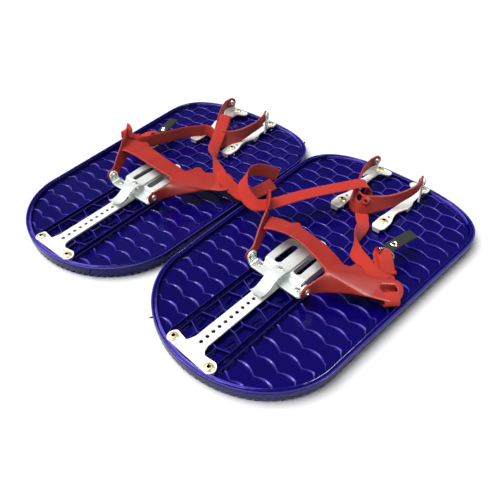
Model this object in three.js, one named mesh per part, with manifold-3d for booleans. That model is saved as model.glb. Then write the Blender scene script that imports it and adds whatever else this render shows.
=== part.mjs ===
// A pair of moulded plastic snowshoes with adjustable strap bindings.
// Millimetres, +Z up, +Y towards the toes, +X to the right. z = 0 is the snow side.
// Every piece is drawn for the right shoe in its own frame: y = 0 at the two screws at
// the tail, x = 0 on the shoe's centre line. The left shoe is the mirror image.
import * as THREE from "three";
import { mergeVertices } from "three/addons/utils/BufferGeometryUtils.js";
import Module from "manifold-3d";

const wasm = await Module();
wasm.setup();

// Deck outline: a half ellipse at the tail, tapered sides, a squarer curve at the toe.
const TAIL_HALF_WIDTH = 131;
const TAIL_LENGTH = 111.7;
const TAIL_CENTRE_Y = 95.8;
const TOE_HALF_WIDTH = 146.4;
const TOE_LENGTH = 86.5;
const TOE_CENTRE_Y = 363.6;
const TOE_EXPONENT = 2.68;
const OUTLINE_STEPS = 26;

// Deck section.
const RIM_TOP = 17;
const RIM_WIDTH = 5.5;
const DECK_TOP = 12;
const DECK_UNDER = 8;
const WALL = 4;
const WALL_FOOT = 4.5;
const BOSS_TOP = 13.6;
const BOSS_FOOT = 4.6;
const BOSS_R = 7;
const CLEAT_PITCH = 38;
const CLEAT_WIDTH = 4;
const TOOTH_LENGTH = 10;
const TOOTH_PITCH = 48;

// The adjusting bar, a T in plan, with its row of holes.
const HOLE_PITCH = 9.5;
const HOLE_COUNT = 23;
const FIRST_HOLE_Y = 15.8;
const HOLE_R = 2.5;
const BAR_HALF = 10;
const BAR_END_Y = 239;
const BAR_UNDER = 16.7;
const PLATE_T = 2.5;
const T_HEAD_UNDER = 13.9;
const T_SCREW_X = 29.4;
const T_LOBE_R = 8.6;

// The sliding heel plate and what is fixed to it.
const PLATE_NEAR_Y = 136;
const CROSSBAR_Y = 156;
const PLATE_FAR_Y = 207;
const CROSSBAR_UNDER = 20;
const PLATE_UNDER = 26.5;
const EAR_INNER_X = 41.5;
const PIVOT_Y = 142.7;
const PIVOT_Z = 33.3;
const SLOT_X = 15.2;
const SLOT_HALF = 4.6;
const PLATE_RIVET_X = 31;
const LATCH_HALF = 9;
const LATCH_T = 1.2;
const LATCH_HINGE_Y = 196;
const LATCH_Z = 29.6;
const PIN_Y = FIRST_HOLE_Y + 14 * HOLE_PITCH;

// Toe brackets and toe cage.
const TOE_PIVOT_Y = 419.7;
const TOE_PIVOT_Z = 43.6;
const TOE_EAR_INNER_X = 41;
const BRACKET_UNDER = 17.4;
const REAR_SCREW = [36, 331];
const FRONT_SCREW = [38, 436];

// Shared hardware sizes.
const SHEET_T = 2.5;
const MOULDED_T = 3;
const WEBBING_T = 1.6;
const WEBBING_WIDTH = 19;
const GAP = 0.3;
const SCREW_SHANK_R = 2.2;
const SCREW_HOLE_R = 2.7;
const SCREW_HEAD_R = 6;
const PIVOT_R = 2.4;
const PIVOT_HOLE_R = 2.7;
const ROUND = 8;

// Placement of the pair: the toes splay out and the right shoe lies slightly forward.
const SHOE_X = 131.6;
const STAGGER_Y = 2.4;
const SPLAY = THREE.MathUtils.degToRad(2.46);
const CENTRE_Y = -217.3;

const material = (name, colour, metalness, roughness) =>
  new THREE.MeshStandardMaterial({ name, color: colour, metalness, roughness });
const FINISHES = {
  deck: () => material("deck", 0x23128c, 0, 0.2),
  steel: () => material("steel", 0xd8d8d4, 1, 0.35),
  zinc: () => material("zinc", 0xc9cfd2, 1, 0.25),
  screw: () => material("screw", 0xcbbb8a, 1, 0.35),
  moulding: () => material("moulding", 0xb33428, 0, 0.6),
  webbing: () => material("webbing", 0xd93826, 0, 0.9),
  tab: () => material("tab", 0x2a2c24, 0, 0.8),
};

const v3 = (x, y, z) => new THREE.Vector3(x, y, z);

// A three.js geometry as a solid that can be joined and cut, and back again.
function solid(geometry) {
  const plain = geometry.index ? geometry.toNonIndexed() : geometry;
  const bare = new THREE.BufferGeometry();
  bare.setAttribute("position", plain.getAttribute("position"));
  const merged = mergeVertices(bare, 1e-4);
  return new wasm.Manifold(
    new wasm.Mesh({
      numProp: 3,
      vertProperties: merged.attributes.position.array,
      triVerts: new Uint32Array(merged.index.array),
    }),
  );
}

function geometryOf(body) {
  const mesh = body.getMesh();
  const geometry = new THREE.BufferGeometry();
  const points = new Float32Array(mesh.vertProperties);
  geometry.setAttribute("position", new THREE.BufferAttribute(points, 3));
  geometry.setIndex([...mesh.triVerts]);
  return geometry.toNonIndexed();
}

const join = (...bodies) => bodies.reduce((all, one) => all.add(one));
const cut = (body, ...tools) => tools.reduce((left, one) => left.subtract(one), body);

// A flat shape standing from z0 up to z1.
function slab(shape, z0, z1) {
  const options = { depth: z1 - z0, bevelEnabled: false, curveSegments: 4 };
  return solid(new THREE.ExtrudeGeometry(shape, options).translate(0, 0, z0));
}

function block(x0, x1, y0, y1, z0, z1) {
  const box = new THREE.BoxGeometry(x1 - x0, y1 - y0, z1 - z0);
  return solid(box.translate((x0 + x1) / 2, (y0 + y1) / 2, (z0 + z1) / 2));
}

// A round post along Z, and a round post along X.
function post(x, y, z0, z1, radius) {
  const body = new THREE.CylinderGeometry(radius, radius, z1 - z0, ROUND);
  return solid(body.rotateX(Math.PI / 2).translate(x, y, (z0 + z1) / 2));
}

function axle(x0, x1, y, z, radius) {
  const body = new THREE.CylinderGeometry(radius, radius, x1 - x0, ROUND);
  return solid(body.rotateZ(Math.PI / 2).translate((x0 + x1) / 2, y, z));
}

// A side profile in (y, z) standing across the shoe from x0 to x1.
function across(points, x0, x1) {
  const shape = new THREE.Shape(points.map(([y, z]) => new THREE.Vector2(y, z)));
  const options = { depth: x1 - x0, bevelEnabled: false, curveSegments: 6 };
  const body = new THREE.ExtrudeGeometry(shape, options);
  const turn = new THREE.Matrix4().makeBasis(v3(0, 1, 0), v3(0, 0, 1), v3(1, 0, 0));
  return solid(body.applyMatrix4(turn).translate(x0, 0, 0));
}

// A rounded bar in plan: straight sides from a to b and a half circle at each end.
function stadium(x, y0, y1, half) {
  const shape = new THREE.Shape();
  shape.absarc(x, y1 - half, half, 0, Math.PI, false);
  shape.absarc(x, y0 + half, half, Math.PI, 2 * Math.PI, false);
  return shape;
}

// A flat band swept through stations of centre point, direction of its width, and width.
function ribbon(stations, thickness, steps) {
  const path = new THREE.CatmullRomCurve3(stations.map((s) => v3(...s.at)));
  const points = [];
  for (let i = 0; i <= steps; i += 1) {
    const t = i / steps;
    const place = t * (stations.length - 1);
    const from = stations[Math.min(Math.floor(place), stations.length - 2)];
    const to = stations[stations.indexOf(from) + 1];
    const share = place - stations.indexOf(from);
    const wide = v3(...from.wide).normalize().lerp(v3(...to.wide).normalize(), share);
    const width = THREE.MathUtils.lerp(from.width, to.width, share);
    const centre = path.getPoint(t);
    const along = path.getTangent(t);
    wide.addScaledVector(along, -wide.dot(along)).normalize();
    const face = along.clone().cross(wide);
    for (const [w, f] of [[-1, -1], [1, -1], [1, 1], [-1, 1]]) {
      const corner = centre.clone().addScaledVector(wide, (w * width) / 2);
      points.push(corner.addScaledVector(face, (f * thickness) / 2));
    }
  }
  const index = [0, 2, 1, 0, 3, 2];
  const last = steps * 4;
  index.push(last, last + 1, last + 2, last, last + 2, last + 3);
  for (let i = 0; i < steps; i += 1)
    for (let k = 0; k < 4; k += 1) {
      const a = i * 4 + k;
      const b = i * 4 + ((k + 1) % 4);
      index.push(a, b, b + 4, a, b + 4, a + 4);
    }
  const geometry = new THREE.BufferGeometry().setFromPoints(points);
  geometry.setIndex(index);
  const body = solid(geometry);
  if (body.volume() > 0) return body;
  for (let i = 0; i < index.length; i += 3) {
    [index[i + 1], index[i + 2]] = [index[i + 2], index[i + 1]];
  }
  geometry.setIndex(index);
  return solid(geometry);
}

// The deck's outline, moved in by inset.
function outline(inset) {
  const points = [];
  for (let i = 0; i <= OUTLINE_STEPS; i += 1) {
    const a = Math.PI + (Math.PI * i) / OUTLINE_STEPS;
    const x = (TAIL_HALF_WIDTH - inset) * Math.cos(a);
    const y = TAIL_CENTRE_Y + (TAIL_LENGTH - inset) * Math.sin(a);
    points.push(new THREE.Vector2(x, y));
  }
  for (let i = 0; i <= OUTLINE_STEPS; i += 1) {
    const a = (Math.PI * i) / OUTLINE_STEPS;
    const c = Math.cos(a);
    const reach = Math.abs(c) ** (2 / TOE_EXPONENT) * Math.sign(c);
    const x = (TOE_HALF_WIDTH - inset) * reach;
    const rise = Math.max(Math.sin(a), 0) ** (2 / TOE_EXPONENT);
    const y = TOE_CENTRE_Y + (TOE_LENGTH - inset) * rise;
    points.push(new THREE.Vector2(x, y));
  }
  return points;
}

// One small tooth for each TOOTH_PITCH along the wall's lower edge.
function teeth() {
  const edge = outline(WALL / 2);
  const found = [];
  let walked = TOOTH_PITCH / 2;
  for (let i = 0; i < edge.length; i += 1) {
    const from = edge[i];
    const step = edge[(i + 1) % edge.length].clone().sub(from);
    const length = step.length();
    while (walked < length) {
      const at = from.clone().addScaledVector(step, walked / length);
      const tooth = new THREE.BoxGeometry(TOOTH_LENGTH, WALL - 1, WALL_FOOT + 1);
      tooth.rotateZ(step.angle()).translate(at.x, at.y, (WALL_FOOT + 1) / 2);
      found.push(solid(tooth));
      walked += TOOTH_PITCH;
    }
    walked -= length;
  }
  return found;
}

// Every screw of one shoe: x, y and the top of the boss it goes into.
const screwPlaces = [-1, 1].flatMap((s) => [
  [s * T_SCREW_X, 0, BOSS_TOP],
  [s * REAR_SCREW[0], REAR_SCREW[1], BRACKET_UNDER - GAP],
  [s * FRONT_SCREW[0], FRONT_SCREW[1], BRACKET_UNDER - GAP],
]);

function deck() {
  const shell = slab(new THREE.Shape(outline(0)), WALL_FOOT, RIM_TOP);
  const tray = slab(new THREE.Shape(outline(RIM_WIDTH)), DECK_TOP, RIM_TOP + 1);
  const hollow = slab(new THREE.Shape(outline(WALL)), WALL_FOOT - 1, DECK_UNDER);
  const keep = slab(new THREE.Shape(outline(WALL / 2)), -1, DECK_UNDER + 1);
  const cleats = [];
  for (let k = 0; k < 12; k += 1) {
    const y = k * CLEAT_PITCH + 8;
    const half = CLEAT_WIDTH / 2;
    cleats.push(block(-150, 150, y - half, y + half, 0, DECK_UNDER + 1));
  }
  const bosses = screwPlaces.map(([x, y, top]) => post(x, y, BOSS_FOOT, top, BOSS_R));
  const holes = screwPlaces.map(([x, y, top]) => post(x, y, -1, top + 1, SCREW_HOLE_R));
  const body = join(cut(shell, tray, hollow), join(...cleats).intersect(keep), ...teeth());
  return cut(join(body, ...bosses), ...holes);
}

function lengthBar() {
  const bar = stadium(0, 6, BAR_END_Y, BAR_HALF);
  for (let k = 0; k < HOLE_COUNT; k += 1) {
    const hole = new THREE.Path();
    hole.absarc(0, FIRST_HOLE_Y + k * HOLE_PITCH, HOLE_R, 0, 2 * Math.PI, true);
    bar.holes.push(hole);
  }
  const raised = cut(slab(bar, BAR_UNDER, BAR_UNDER + PLATE_T), block(-20, 20, -20, 10, 0, 30));
  const fold = [
    [4, T_HEAD_UNDER],
    [10, BAR_UNDER],
    [10.5, BAR_UNDER],
    [10.5, BAR_UNDER + PLATE_T],
    [9, BAR_UNDER + PLATE_T],
    [3, T_HEAD_UNDER + PLATE_T],
    [2, T_HEAD_UNDER + PLATE_T],
    [2, T_HEAD_UNDER],
  ];
  const top = T_HEAD_UNDER + PLATE_T;
  const head = new THREE.Shape();
  head.absarc(T_SCREW_X, 0, T_LOBE_R, -Math.PI / 2, Math.PI / 2, false);
  head.lineTo(-T_SCREW_X, T_LOBE_R);
  head.absarc(-T_SCREW_X, 0, T_LOBE_R, Math.PI / 2, 1.5 * Math.PI, false);
  const notch = [-1, 1].map((s) => post(s * 19, 12, T_HEAD_UNDER - 1, top + 1, 7));
  const holes = [-1, 1].map((s) => post(s * T_SCREW_X, 0, 0, top + 1, SCREW_HOLE_R));
  const inRim = slab(new THREE.Shape(outline(RIM_WIDTH + 2 * GAP)), 0, 30);
  const foot = cut(slab(head, T_HEAD_UNDER, top), block(-10, 10, 4, 20, 0, 30), ...notch);
  const body = join(foot, raised, across(fold, -BAR_HALF, BAR_HALF)).intersect(inRim);
  return cut(body, ...holes);
}

// A pan head screw: x, y, the height its head sits at, and the foot of its shank.
function screw(x, y, seat) {
  const profile = [
    [0, BOSS_FOOT],
    [SCREW_SHANK_R, BOSS_FOOT],
    [SCREW_SHANK_R, seat],
    [SCREW_HEAD_R, seat],
    [SCREW_HEAD_R, seat + 1.4],
    [SCREW_HEAD_R * 0.6, seat + 2.8],
    [0, seat + 2.8],
  ];
  const outlinePoints = profile.map(([r, z]) => new THREE.Vector2(r, z));
  const body = new THREE.LatheGeometry(outlinePoints, ROUND).rotateX(Math.PI / 2);
  return solid(body.translate(x, y, 0));
}

function heelPlate() {
  const upper = PLATE_UNDER + PLATE_T;
  const front = new THREE.Shape([
    new THREE.Vector2(-32, CROSSBAR_Y),
    new THREE.Vector2(32, CROSSBAR_Y),
    new THREE.Vector2(36, PLATE_FAR_Y - 14),
    new THREE.Vector2(32, PLATE_FAR_Y),
    new THREE.Vector2(-32, PLATE_FAR_Y),
    new THREE.Vector2(-36, PLATE_FAR_Y - 14),
  ]);
  const slots = [-1, 1].map((s) =>
    slab(stadium(s * SLOT_X, CROSSBAR_Y - 2, PLATE_FAR_Y - 12, SLOT_HALF), 15, 45),
  );
  const crossbarTop = CROSSBAR_UNDER + PLATE_T;
  const earOuter = EAR_INNER_X + SHEET_T;
  const crossbar = block(-earOuter, earOuter, PLATE_NEAR_Y, CROSSBAR_Y - 3, CROSSBAR_UNDER, crossbarTop);
  const joggle = [
    [CROSSBAR_Y - 4, CROSSBAR_UNDER],
    [CROSSBAR_Y - 2, CROSSBAR_UNDER],
    [CROSSBAR_Y + 4, PLATE_UNDER],
    [CROSSBAR_Y + 4, upper],
    [CROSSBAR_Y, upper],
    [CROSSBAR_Y - 4, crossbarTop],
  ];
  const flanges = [-1, 1].map((s) =>
    block(...[s * 30, s * 32].sort((a, b) => a - b), CROSSBAR_Y + 3, PLATE_FAR_Y - 4, 14.6, upper - 1),
  );
  const pinHole = post(0, PIN_Y, 15, 30, HOLE_R);
  const rivetHoles = [-1, 1].map((s) => post(s * PLATE_RIVET_X, 145.5, 15, 26, 1.8));
  const ears = [-1, 1].flatMap((s) => {
    const [x0, x1] = [s * EAR_INNER_X, s * earOuter].sort((a, b) => a - b);
    return [
      block(x0, x1, PIVOT_Y - 6.7, PIVOT_Y + 6.3, CROSSBAR_UNDER, PIVOT_Z),
      axle(x0, x1, PIVOT_Y, PIVOT_Z, 8.2),
    ];
  });
  const pivots = axle(-60, 60, PIVOT_Y, PIVOT_Z, PIVOT_HOLE_R);
  const body = join(slab(front, PLATE_UNDER, upper), across(joggle, -32, 32), ...flanges);
  const open = cut(body, ...slots);
  return cut(join(open, crossbar, ...ears), pinHole, pivots, ...rivetHoles);
}

// The channel under the heel plate that wraps the bar and keeps the plate on it.
function barGuide() {
  const side = BAR_HALF + 0.6;
  const lowTop = BAR_UNDER - GAP - 0.1;
  const y0 = PLATE_NEAR_Y + 2;
  const y1 = CROSSBAR_Y - 4;
  const tray = block(-side - 2, side + 2, y0, y1, lowTop - 2, lowTop);
  const walls = [-1, 1].map((s) => {
    const [x0, x1] = [s * side, s * (side + 2)].sort((a, b) => a - b);
    return block(x0, x1, y0, y1, lowTop - 0.5, CROSSBAR_UNDER - GAP);
  });
  const wings = [-1, 1].map((s) => {
    const [x0, x1] = [s * side, s * (PLATE_RIVET_X + 5)].sort((a, b) => a - b);
    return block(x0, x1, y0, y1, CROSSBAR_UNDER - GAP - 2, CROSSBAR_UNDER - GAP);
  });
  const holes = [-1, 1].map((s) => post(s * PLATE_RIVET_X, 145.5, 10, 26, 1.8));
  return cut(join(tray, ...walls, ...wings), ...holes);
}

function plateRivet(side) {
  const x = side * PLATE_RIVET_X;
  const low = CROSSBAR_UNDER - GAP - 2.2;
  const high = CROSSBAR_UNDER + PLATE_T + 0.2;
  return join(
    post(x, 145.5, low - 1.2, low, 3.2),
    post(x, 145.5, low - 0.5, high + 0.5, 1.4),
    post(x, 145.5, high, high + 1.2, 3.6),
  );
}

// The spring leaf: riveted at the front, running back over the crossbar to a thumb lip.
function heelLatch() {
  const upper = [
    [LATCH_HINGE_Y, LATCH_Z],
    [154, LATCH_Z + 0.6],
    [150, LATCH_Z + 2.4],
    [134, LATCH_Z + 2.4],
    [127, LATCH_Z - 1],
    [118, 23.4],
    [109, 22.2],
    [103.5, 25],
  ];
  const lower = upper.map(([y, z]) => [y, z - LATCH_T]).reverse();
  const lifted = [...upper, ...lower].map(([y, z]) => [y, z + LATCH_T]);
  const leaf = across(lifted, -LATCH_HALF, LATCH_HALF);
  return cut(leaf, post(0, PIN_Y, 20, 40, 2.1));
}

function latchPin() {
  const seat = LATCH_Z + 2.4 + LATCH_T + 0.3;
  return join(
    post(0, PIN_Y, BAR_UNDER + PLATE_T + 0.4, seat + 0.5, 1.7),
    post(0, PIN_Y, seat, seat + 1.6, 3.4),
  );
}

// A headed rivet on a hinge line, with a head past each face of the stack.
function pivotRivet(side, y, z, inner, outer) {
  const span = (a, b, radius) => axle(...[side * a, side * b].sort((p, q) => p - q), y, z, radius);
  return join(
    span(inner - 1.8, inner, 5),
    span(inner - 0.5, outer + 0.5, PIVOT_R),
    span(outer, outer + 1.8, 5),
  );
}

// The heel cup, folded forwards: a band with a slotted wing at each end, and two legs
// that turn from flat under the band to upright at the pivots.
function heelCup() {
  const tilt = [0, 0.94, -0.34];
  const half = [
    { at: [110, 228, 34], wide: tilt, width: 26 },
    { at: [92, 228, 36], wide: tilt, width: 28 },
    { at: [75, 224, 39], wide: tilt, width: 32 },
    { at: [60, 218, 43], wide: tilt, width: 40 },
    { at: [42, 212, 48], wide: tilt, width: 32 },
    { at: [22, 208, 51], wide: tilt, width: 28 },
  ];
  const mirrored = half.map((s) => ({ ...s, at: [-s.at[0], s.at[1], s.at[2]] })).reverse();
  const middle = { at: [0, 206, 52], wide: tilt, width: 28 };
  const band = ribbon([...half, middle, ...mirrored], MOULDED_T, 28);
  const eyeIn = EAR_INNER_X + SHEET_T + GAP;
  const eyeMid = eyeIn + MOULDED_T / 2;
  const legs = [-1, 1].flatMap((s) => {
    const leg = ribbon(
      [
        { at: [s * eyeMid, PIVOT_Y, PIVOT_Z], wide: [0, 0, 1], width: 18 },
        { at: [s * eyeMid, PIVOT_Y + 14, PIVOT_Z + 2], wide: [0, -0.1, 1], width: 18 },
        { at: [s * 51, 172, 39], wide: [s * -0.5, 0, 0.8], width: 21 },
        { at: [s * 57, 192, 44], wide: [s * -0.9, 0, 0.45], width: 30 },
        { at: [s * 63, 214, 42.5], wide: [s * -0.95, 0.2, 0.3], width: 42 },
      ],
      MOULDED_T,
      12,
    );
    const [x0, x1] = [s * eyeIn, s * (eyeIn + MOULDED_T)].sort((a, b) => a - b);
    return [leg, axle(x0, x1, PIVOT_Y, PIVOT_Z, 9.6)];
  });
  const slots = [-1, 1].map((s) => block(...[s * 106.4, s * 111].sort((a, b) => a - b), 217, 239, 20, 50));
  return cut(join(band, ...legs), axle(-60, 60, PIVOT_Y, PIVOT_Z, PIVOT_HOLE_R), ...slots);
}

// A steel strip on the deck with a hooked tab at its side and an upright ear for the cage.
function toeBracket(side) {
  const top = BRACKET_UNDER + PLATE_T;
  const edge = [
    [27, 316],
    [31, 312],
    [42, 312],
    [46, 317],
    [46, 336],
    [41, 348],
    [40, 362],
    [46, 376],
    [47, 394],
    [43.5, 400],
    [43.5, 426],
    [48, 430],
    [48, 443],
    [21, 443],
    [17, 439],
    [17, 434],
    [21, 430],
    [32, 428],
    [34, 400],
    [30, 366],
    [29, 348],
    [27, 336],
  ];
  const shape = new THREE.Shape(edge.map(([x, y]) => new THREE.Vector2(x, y)));
  const earOuter = TOE_EAR_INNER_X + SHEET_T;
  const ear = [
    [403, BRACKET_UNDER],
    [428, BRACKET_UNDER],
    [429, 26],
    [427.5, TOE_PIVOT_Z],
    [412, TOE_PIVOT_Z],
    [406, 26],
  ];
  const hook = [
    [378, 12.3],
    [386, 12.3],
    [392, top],
    [376, top],
  ];
  const body = join(
    slab(shape, BRACKET_UNDER, top),
    across(ear, TOE_EAR_INNER_X, earOuter),
    axle(TOE_EAR_INNER_X, earOuter, TOE_PIVOT_Y, TOE_PIVOT_Z, 8),
    across(hook, 44.5, 47),
    block(31, 42, 312, 314.5, 12.3, top),
  );
  const drilled = cut(
    body,
    post(...REAR_SCREW, 0, 30, SCREW_HOLE_R),
    post(...FRONT_SCREW, 0, 30, SCREW_HOLE_R),
    axle(20, 60, TOE_PIVOT_Y, TOE_PIVOT_Z, PIVOT_HOLE_R),
  );
  return side > 0 ? drilled : drilled.mirror([1, 0, 0]);
}

// The toe cage: one moulded band from pivot to pivot, folded back towards the heel.
function toeCage() {
  const eyeX = TOE_EAR_INNER_X - GAP - MOULDED_T / 2;
  const band = ribbon(
    [
      { at: [-eyeX, TOE_PIVOT_Y, TOE_PIVOT_Z], wide: [0, 0, 1], width: 18 },
      { at: [-38.2, 404, 41.5], wide: [0, 0.1, 1], width: 17 },
      { at: [-34, 380, 36], wide: [0.05, 0.3, 1], width: 17 },
      { at: [-27, 354, 31], wide: [0.1, 0.45, 1], width: 20 },
      { at: [-17, 337, 30.5], wide: [0.1, 0.5, 0.86], width: 24 },
      { at: [-5, 333, 30.5], wide: [0, 0.5, 0.86], width: 24 },
      { at: [8, 343, 31], wide: [-0.1, 0.5, 0.86], width: 23 },
      { at: [21, 363, 32.5], wide: [-0.1, 0.4, 1], width: 19 },
      { at: [32, 386, 37], wide: [-0.05, 0.25, 1], width: 17 },
      { at: [37.8, 406, 42], wide: [0, 0.1, 1], width: 17 },
      { at: [eyeX, TOE_PIVOT_Y, TOE_PIVOT_Z], wide: [0, 0, 1], width: 18 },
    ],
    MOULDED_T,
    26,
  );
  const eyes = [-1, 1].map((s) => {
    const [x0, x1] = [eyeX - MOULDED_T / 2, eyeX + MOULDED_T / 2].map((x) => s * x);
    return axle(Math.min(x0, x1), Math.max(x0, x1), TOE_PIVOT_Y, TOE_PIVOT_Z, 9);
  });
  const bore = axle(-60, 60, TOE_PIVOT_Y, TOE_PIVOT_Z, PIVOT_HOLE_R);
  const hole = new THREE.CylinderGeometry(4, 4, 30, ROUND).translate(-11, 331, 30);
  return cut(join(band, ...eyes), bore, solid(hole));
}

// Webbing. The crossing webbing and the outer webbing meet behind the toe cage.
const webbing = {
  outer: [
    { at: [84, 244, 24], wide: [0.7, 0.7, 0], width: WEBBING_WIDTH },
    { at: [68, 250, 26], wide: [0.5, 0.8, 0.3], width: WEBBING_WIDTH },
    { at: [44, 268, 26], wide: [-0.1, 0.3, 1], width: WEBBING_WIDTH },
    { at: [26, 294, 21], wide: [-0.8, -0.4, 0.3], width: WEBBING_WIDTH },
    { at: [10, 318, 15.4], wide: [-0.75, -0.65, 0], width: WEBBING_WIDTH },
    { at: [-4, 342, 15.4], wide: [-0.8, -0.6, 0], width: WEBBING_WIDTH },
  ],
  crossing: [
    { at: [-5, 362, 34], wide: [-0.85, 0.5, 0], width: WEBBING_WIDTH },
    { at: [-12, 353, 50], wide: [-0.85, 0.5, 0], width: WEBBING_WIDTH },
    { at: [-28, 326, 55], wide: [-0.85, 0.5, 0], width: WEBBING_WIDTH },
    { at: [-50, 290, 52], wide: [-0.8, 0.6, 0], width: WEBBING_WIDTH },
    { at: [-76, 262, 51], wide: [-0.5, 0.85, -0.1], width: WEBBING_WIDTH },
    { at: [-98, 248, 50], wide: [0, 0.95, -0.3], width: WEBBING_WIDTH },
  ],
  tail: [
    { at: [-98, 227, 43], wide: [0, 0.94, -0.34], width: WEBBING_WIDTH },
    { at: [-106, 227, 41], wide: [0, 0.94, -0.34], width: WEBBING_WIDTH },
    { at: [-109, 228, 34], wide: [0, 0.94, -0.34], width: WEBBING_WIDTH },
    { at: [-112, 229, 27], wide: [0, 0.94, -0.34], width: WEBBING_WIDTH },
    { at: [-119, 232, 24], wide: [0, 1, 0], width: WEBBING_WIDTH },
    { at: [-123, 238, 34], wide: [0.2, 1, 0.2], width: WEBBING_WIDTH },
    { at: [-120, 250, 46], wide: [0.5, 0.8, 0.3], width: WEBBING_WIDTH },
    { at: [-121, 268, 42], wide: [0.9, 0.3, 0.2], width: WEBBING_WIDTH },
    { at: [-122, 284, 27], wide: [1, 0.2, 0], width: WEBBING_WIDTH },
  ],
  buckle: [
    { at: [98, 227, 43], wide: [0, 0.94, -0.34], width: WEBBING_WIDTH },
    { at: [106, 227, 41], wide: [0, 0.94, -0.34], width: WEBBING_WIDTH },
    { at: [109, 228, 34], wide: [0, 0.94, -0.34], width: WEBBING_WIDTH },
    { at: [109, 230, 27], wide: [0, 0.94, -0.34], width: WEBBING_WIDTH },
    { at: [105, 235, 22], wide: [0.1, 0.95, 0], width: WEBBING_WIDTH },
    { at: [97, 241, 21.5], wide: [0.4, 0.9, 0], width: WEBBING_WIDTH },
    { at: [88, 248, 21.5], wide: [0.65, 0.75, 0], width: WEBBING_WIDTH },
  ],
};

// A D ring of round wire, its straight bar along x before it is turned and placed.
function dRing(at, turnX, turnZ) {
  const half = 12.5;
  const bend = new THREE.CatmullRomCurve3(
    [v3(-half, 0, 0), v3(half, 0, 0), v3(half, 7, 0), v3(0, 13, 0), v3(-half, 7, 0)],
    true,
    "catmullrom",
    0.35,
  );
  const ring = new THREE.TubeGeometry(bend, 16, 1.4, 5, true);
  return solid(ring.rotateX(turnX).rotateZ(turnZ).translate(...at));
}

// The buckle: two D rings one above the other, and the tab that lifts the upper one.
const RING_TURN = 0.6;
const FIXED_RING = [82.5, 252.5, 20.3];
const RELEASE_RING = [80.5, 256, 33];
const TAB_EYE = [78.5, 283, 34.6];

function releaseTab() {
  const body = ribbon(
    [
      { at: [76, 275, 33], wide: [0.95, -0.25, 0], width: 16 },
      { at: [81, 295, 35.5], wide: [0.95, -0.25, 0], width: 16 },
      { at: [87, 317, 37], wide: [0.95, -0.25, 0], width: 15 },
    ],
    2,
    4,
  );
  return cut(body, post(TAB_EYE[0], TAB_EYE[1], 20, 50, 3));
}

function tabEyelet() {
  const ring = new THREE.LatheGeometry(
    [[2, -1.7], [2.6, -1.7], [2.6, 1.3], [4.6, 1.3], [4.6, 2], [2, 2], [2, -1.7]].map(
      ([r, z]) => new THREE.Vector2(r, z),
    ),
    ROUND,
  );
  return solid(ring.rotateX(Math.PI / 2).rotateX(0.12).translate(...TAB_EYE));
}

// Every piece of one shoe: name, solid and finish.
function pieces() {
  const tSeat = T_HEAD_UNDER + PLATE_T + 0.2;
  const bracketSeat = BRACKET_UNDER + PLATE_T + 0.2;
  const eyeOuter = EAR_INNER_X + SHEET_T + MOULDED_T + 2 * GAP;
  const cageInner = TOE_EAR_INNER_X - 3 * GAP - MOULDED_T;
  const earOuter = TOE_EAR_INNER_X + SHEET_T + GAP;
  const sides = [["outer", 1], ["inner", -1]];
  const list = [
    ["deck", deck(), "deck"],
    ["length_bar", lengthBar(), "steel"],
    ["heel_plate", heelPlate(), "zinc"],
    ["bar_guide", barGuide(), "zinc"],
    ["heel_latch", heelLatch(), "zinc"],
    ["latch_pin", latchPin(), "steel"],
    ["heel_cup", heelCup(), "moulding"],
    ["toe_cage", toeCage(), "moulding"],
    ["outer_webbing", ribbon(webbing.outer, WEBBING_T, 24), "webbing"],
    ["crossing_webbing", ribbon(webbing.crossing, WEBBING_T, 20), "webbing"],
    ["webbing_tail", ribbon(webbing.tail, WEBBING_T, 30), "webbing"],
    ["buckle_webbing", ribbon(webbing.buckle, WEBBING_T, 24), "webbing"],
    ["fixed_d_ring", dRing(FIXED_RING, 0, RING_TURN), "steel"],
    ["release_d_ring", dRing(RELEASE_RING, 0.15, RING_TURN), "steel"],
    ["release_tab", releaseTab(), "tab"],
    ["tab_eyelet", tabEyelet(), "steel"],
  ];
  for (const [word, s] of sides) {
    list.push(
      [`bar_screw_${word}`, screw(s * T_SCREW_X, 0, tSeat), "screw"],
      [`plate_rivet_${word}`, plateRivet(s), "screw"],
      [`heel_pivot_${word}`, pivotRivet(s, PIVOT_Y, PIVOT_Z, EAR_INNER_X - GAP, eyeOuter), "steel"],
      [`toe_bracket_${word}`, toeBracket(s), "steel"],
      [`toe_pivot_${word}`, pivotRivet(s, TOE_PIVOT_Y, TOE_PIVOT_Z, cageInner, earOuter), "steel"],
      [`toe_screw_rear_${word}`, screw(s * REAR_SCREW[0], REAR_SCREW[1], bracketSeat), "screw"],
      [`toe_screw_front_${word}`, screw(s * FRONT_SCREW[0], FRONT_SCREW[1], bracketSeat), "screw"],
    );
  }
  return list;
}

// The pair. A shoe drawn in its own frame is turned, shifted and, for the left, mirrored.
const pair = new THREE.Group();
pair.name = "snowshoes";
for (const [word, body, finish] of pieces()) {
  for (const side of ["right", "left"]) {
    const s = side === "right" ? 1 : -1;
    const turned = body.rotate([0, 0, THREE.MathUtils.radToDeg(-SPLAY)]);
    const placed = turned.translate([SHOE_X, s * STAGGER_Y + CENTRE_Y, 0]);
    const made = s > 0 ? placed : placed.mirror([1, 0, 0]);
    const mesh = new THREE.Mesh(geometryOf(made), FINISHES[finish]());
    mesh.name = `${side}_${word}`;
    pair.add(mesh);
  }
}

export default pair;
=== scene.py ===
# A pair of moulded plastic snowshoes with adjustable strap bindings.
# The scene is in metres. Each piece is drawn in millimetres in its own shoe's frame: y = 0 at
# the two tail screws, x = 0 on the shoe's centre line. The left shoe is the mirror image.
import math

import bmesh
import bpy
from mathutils import Matrix, Vector


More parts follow.
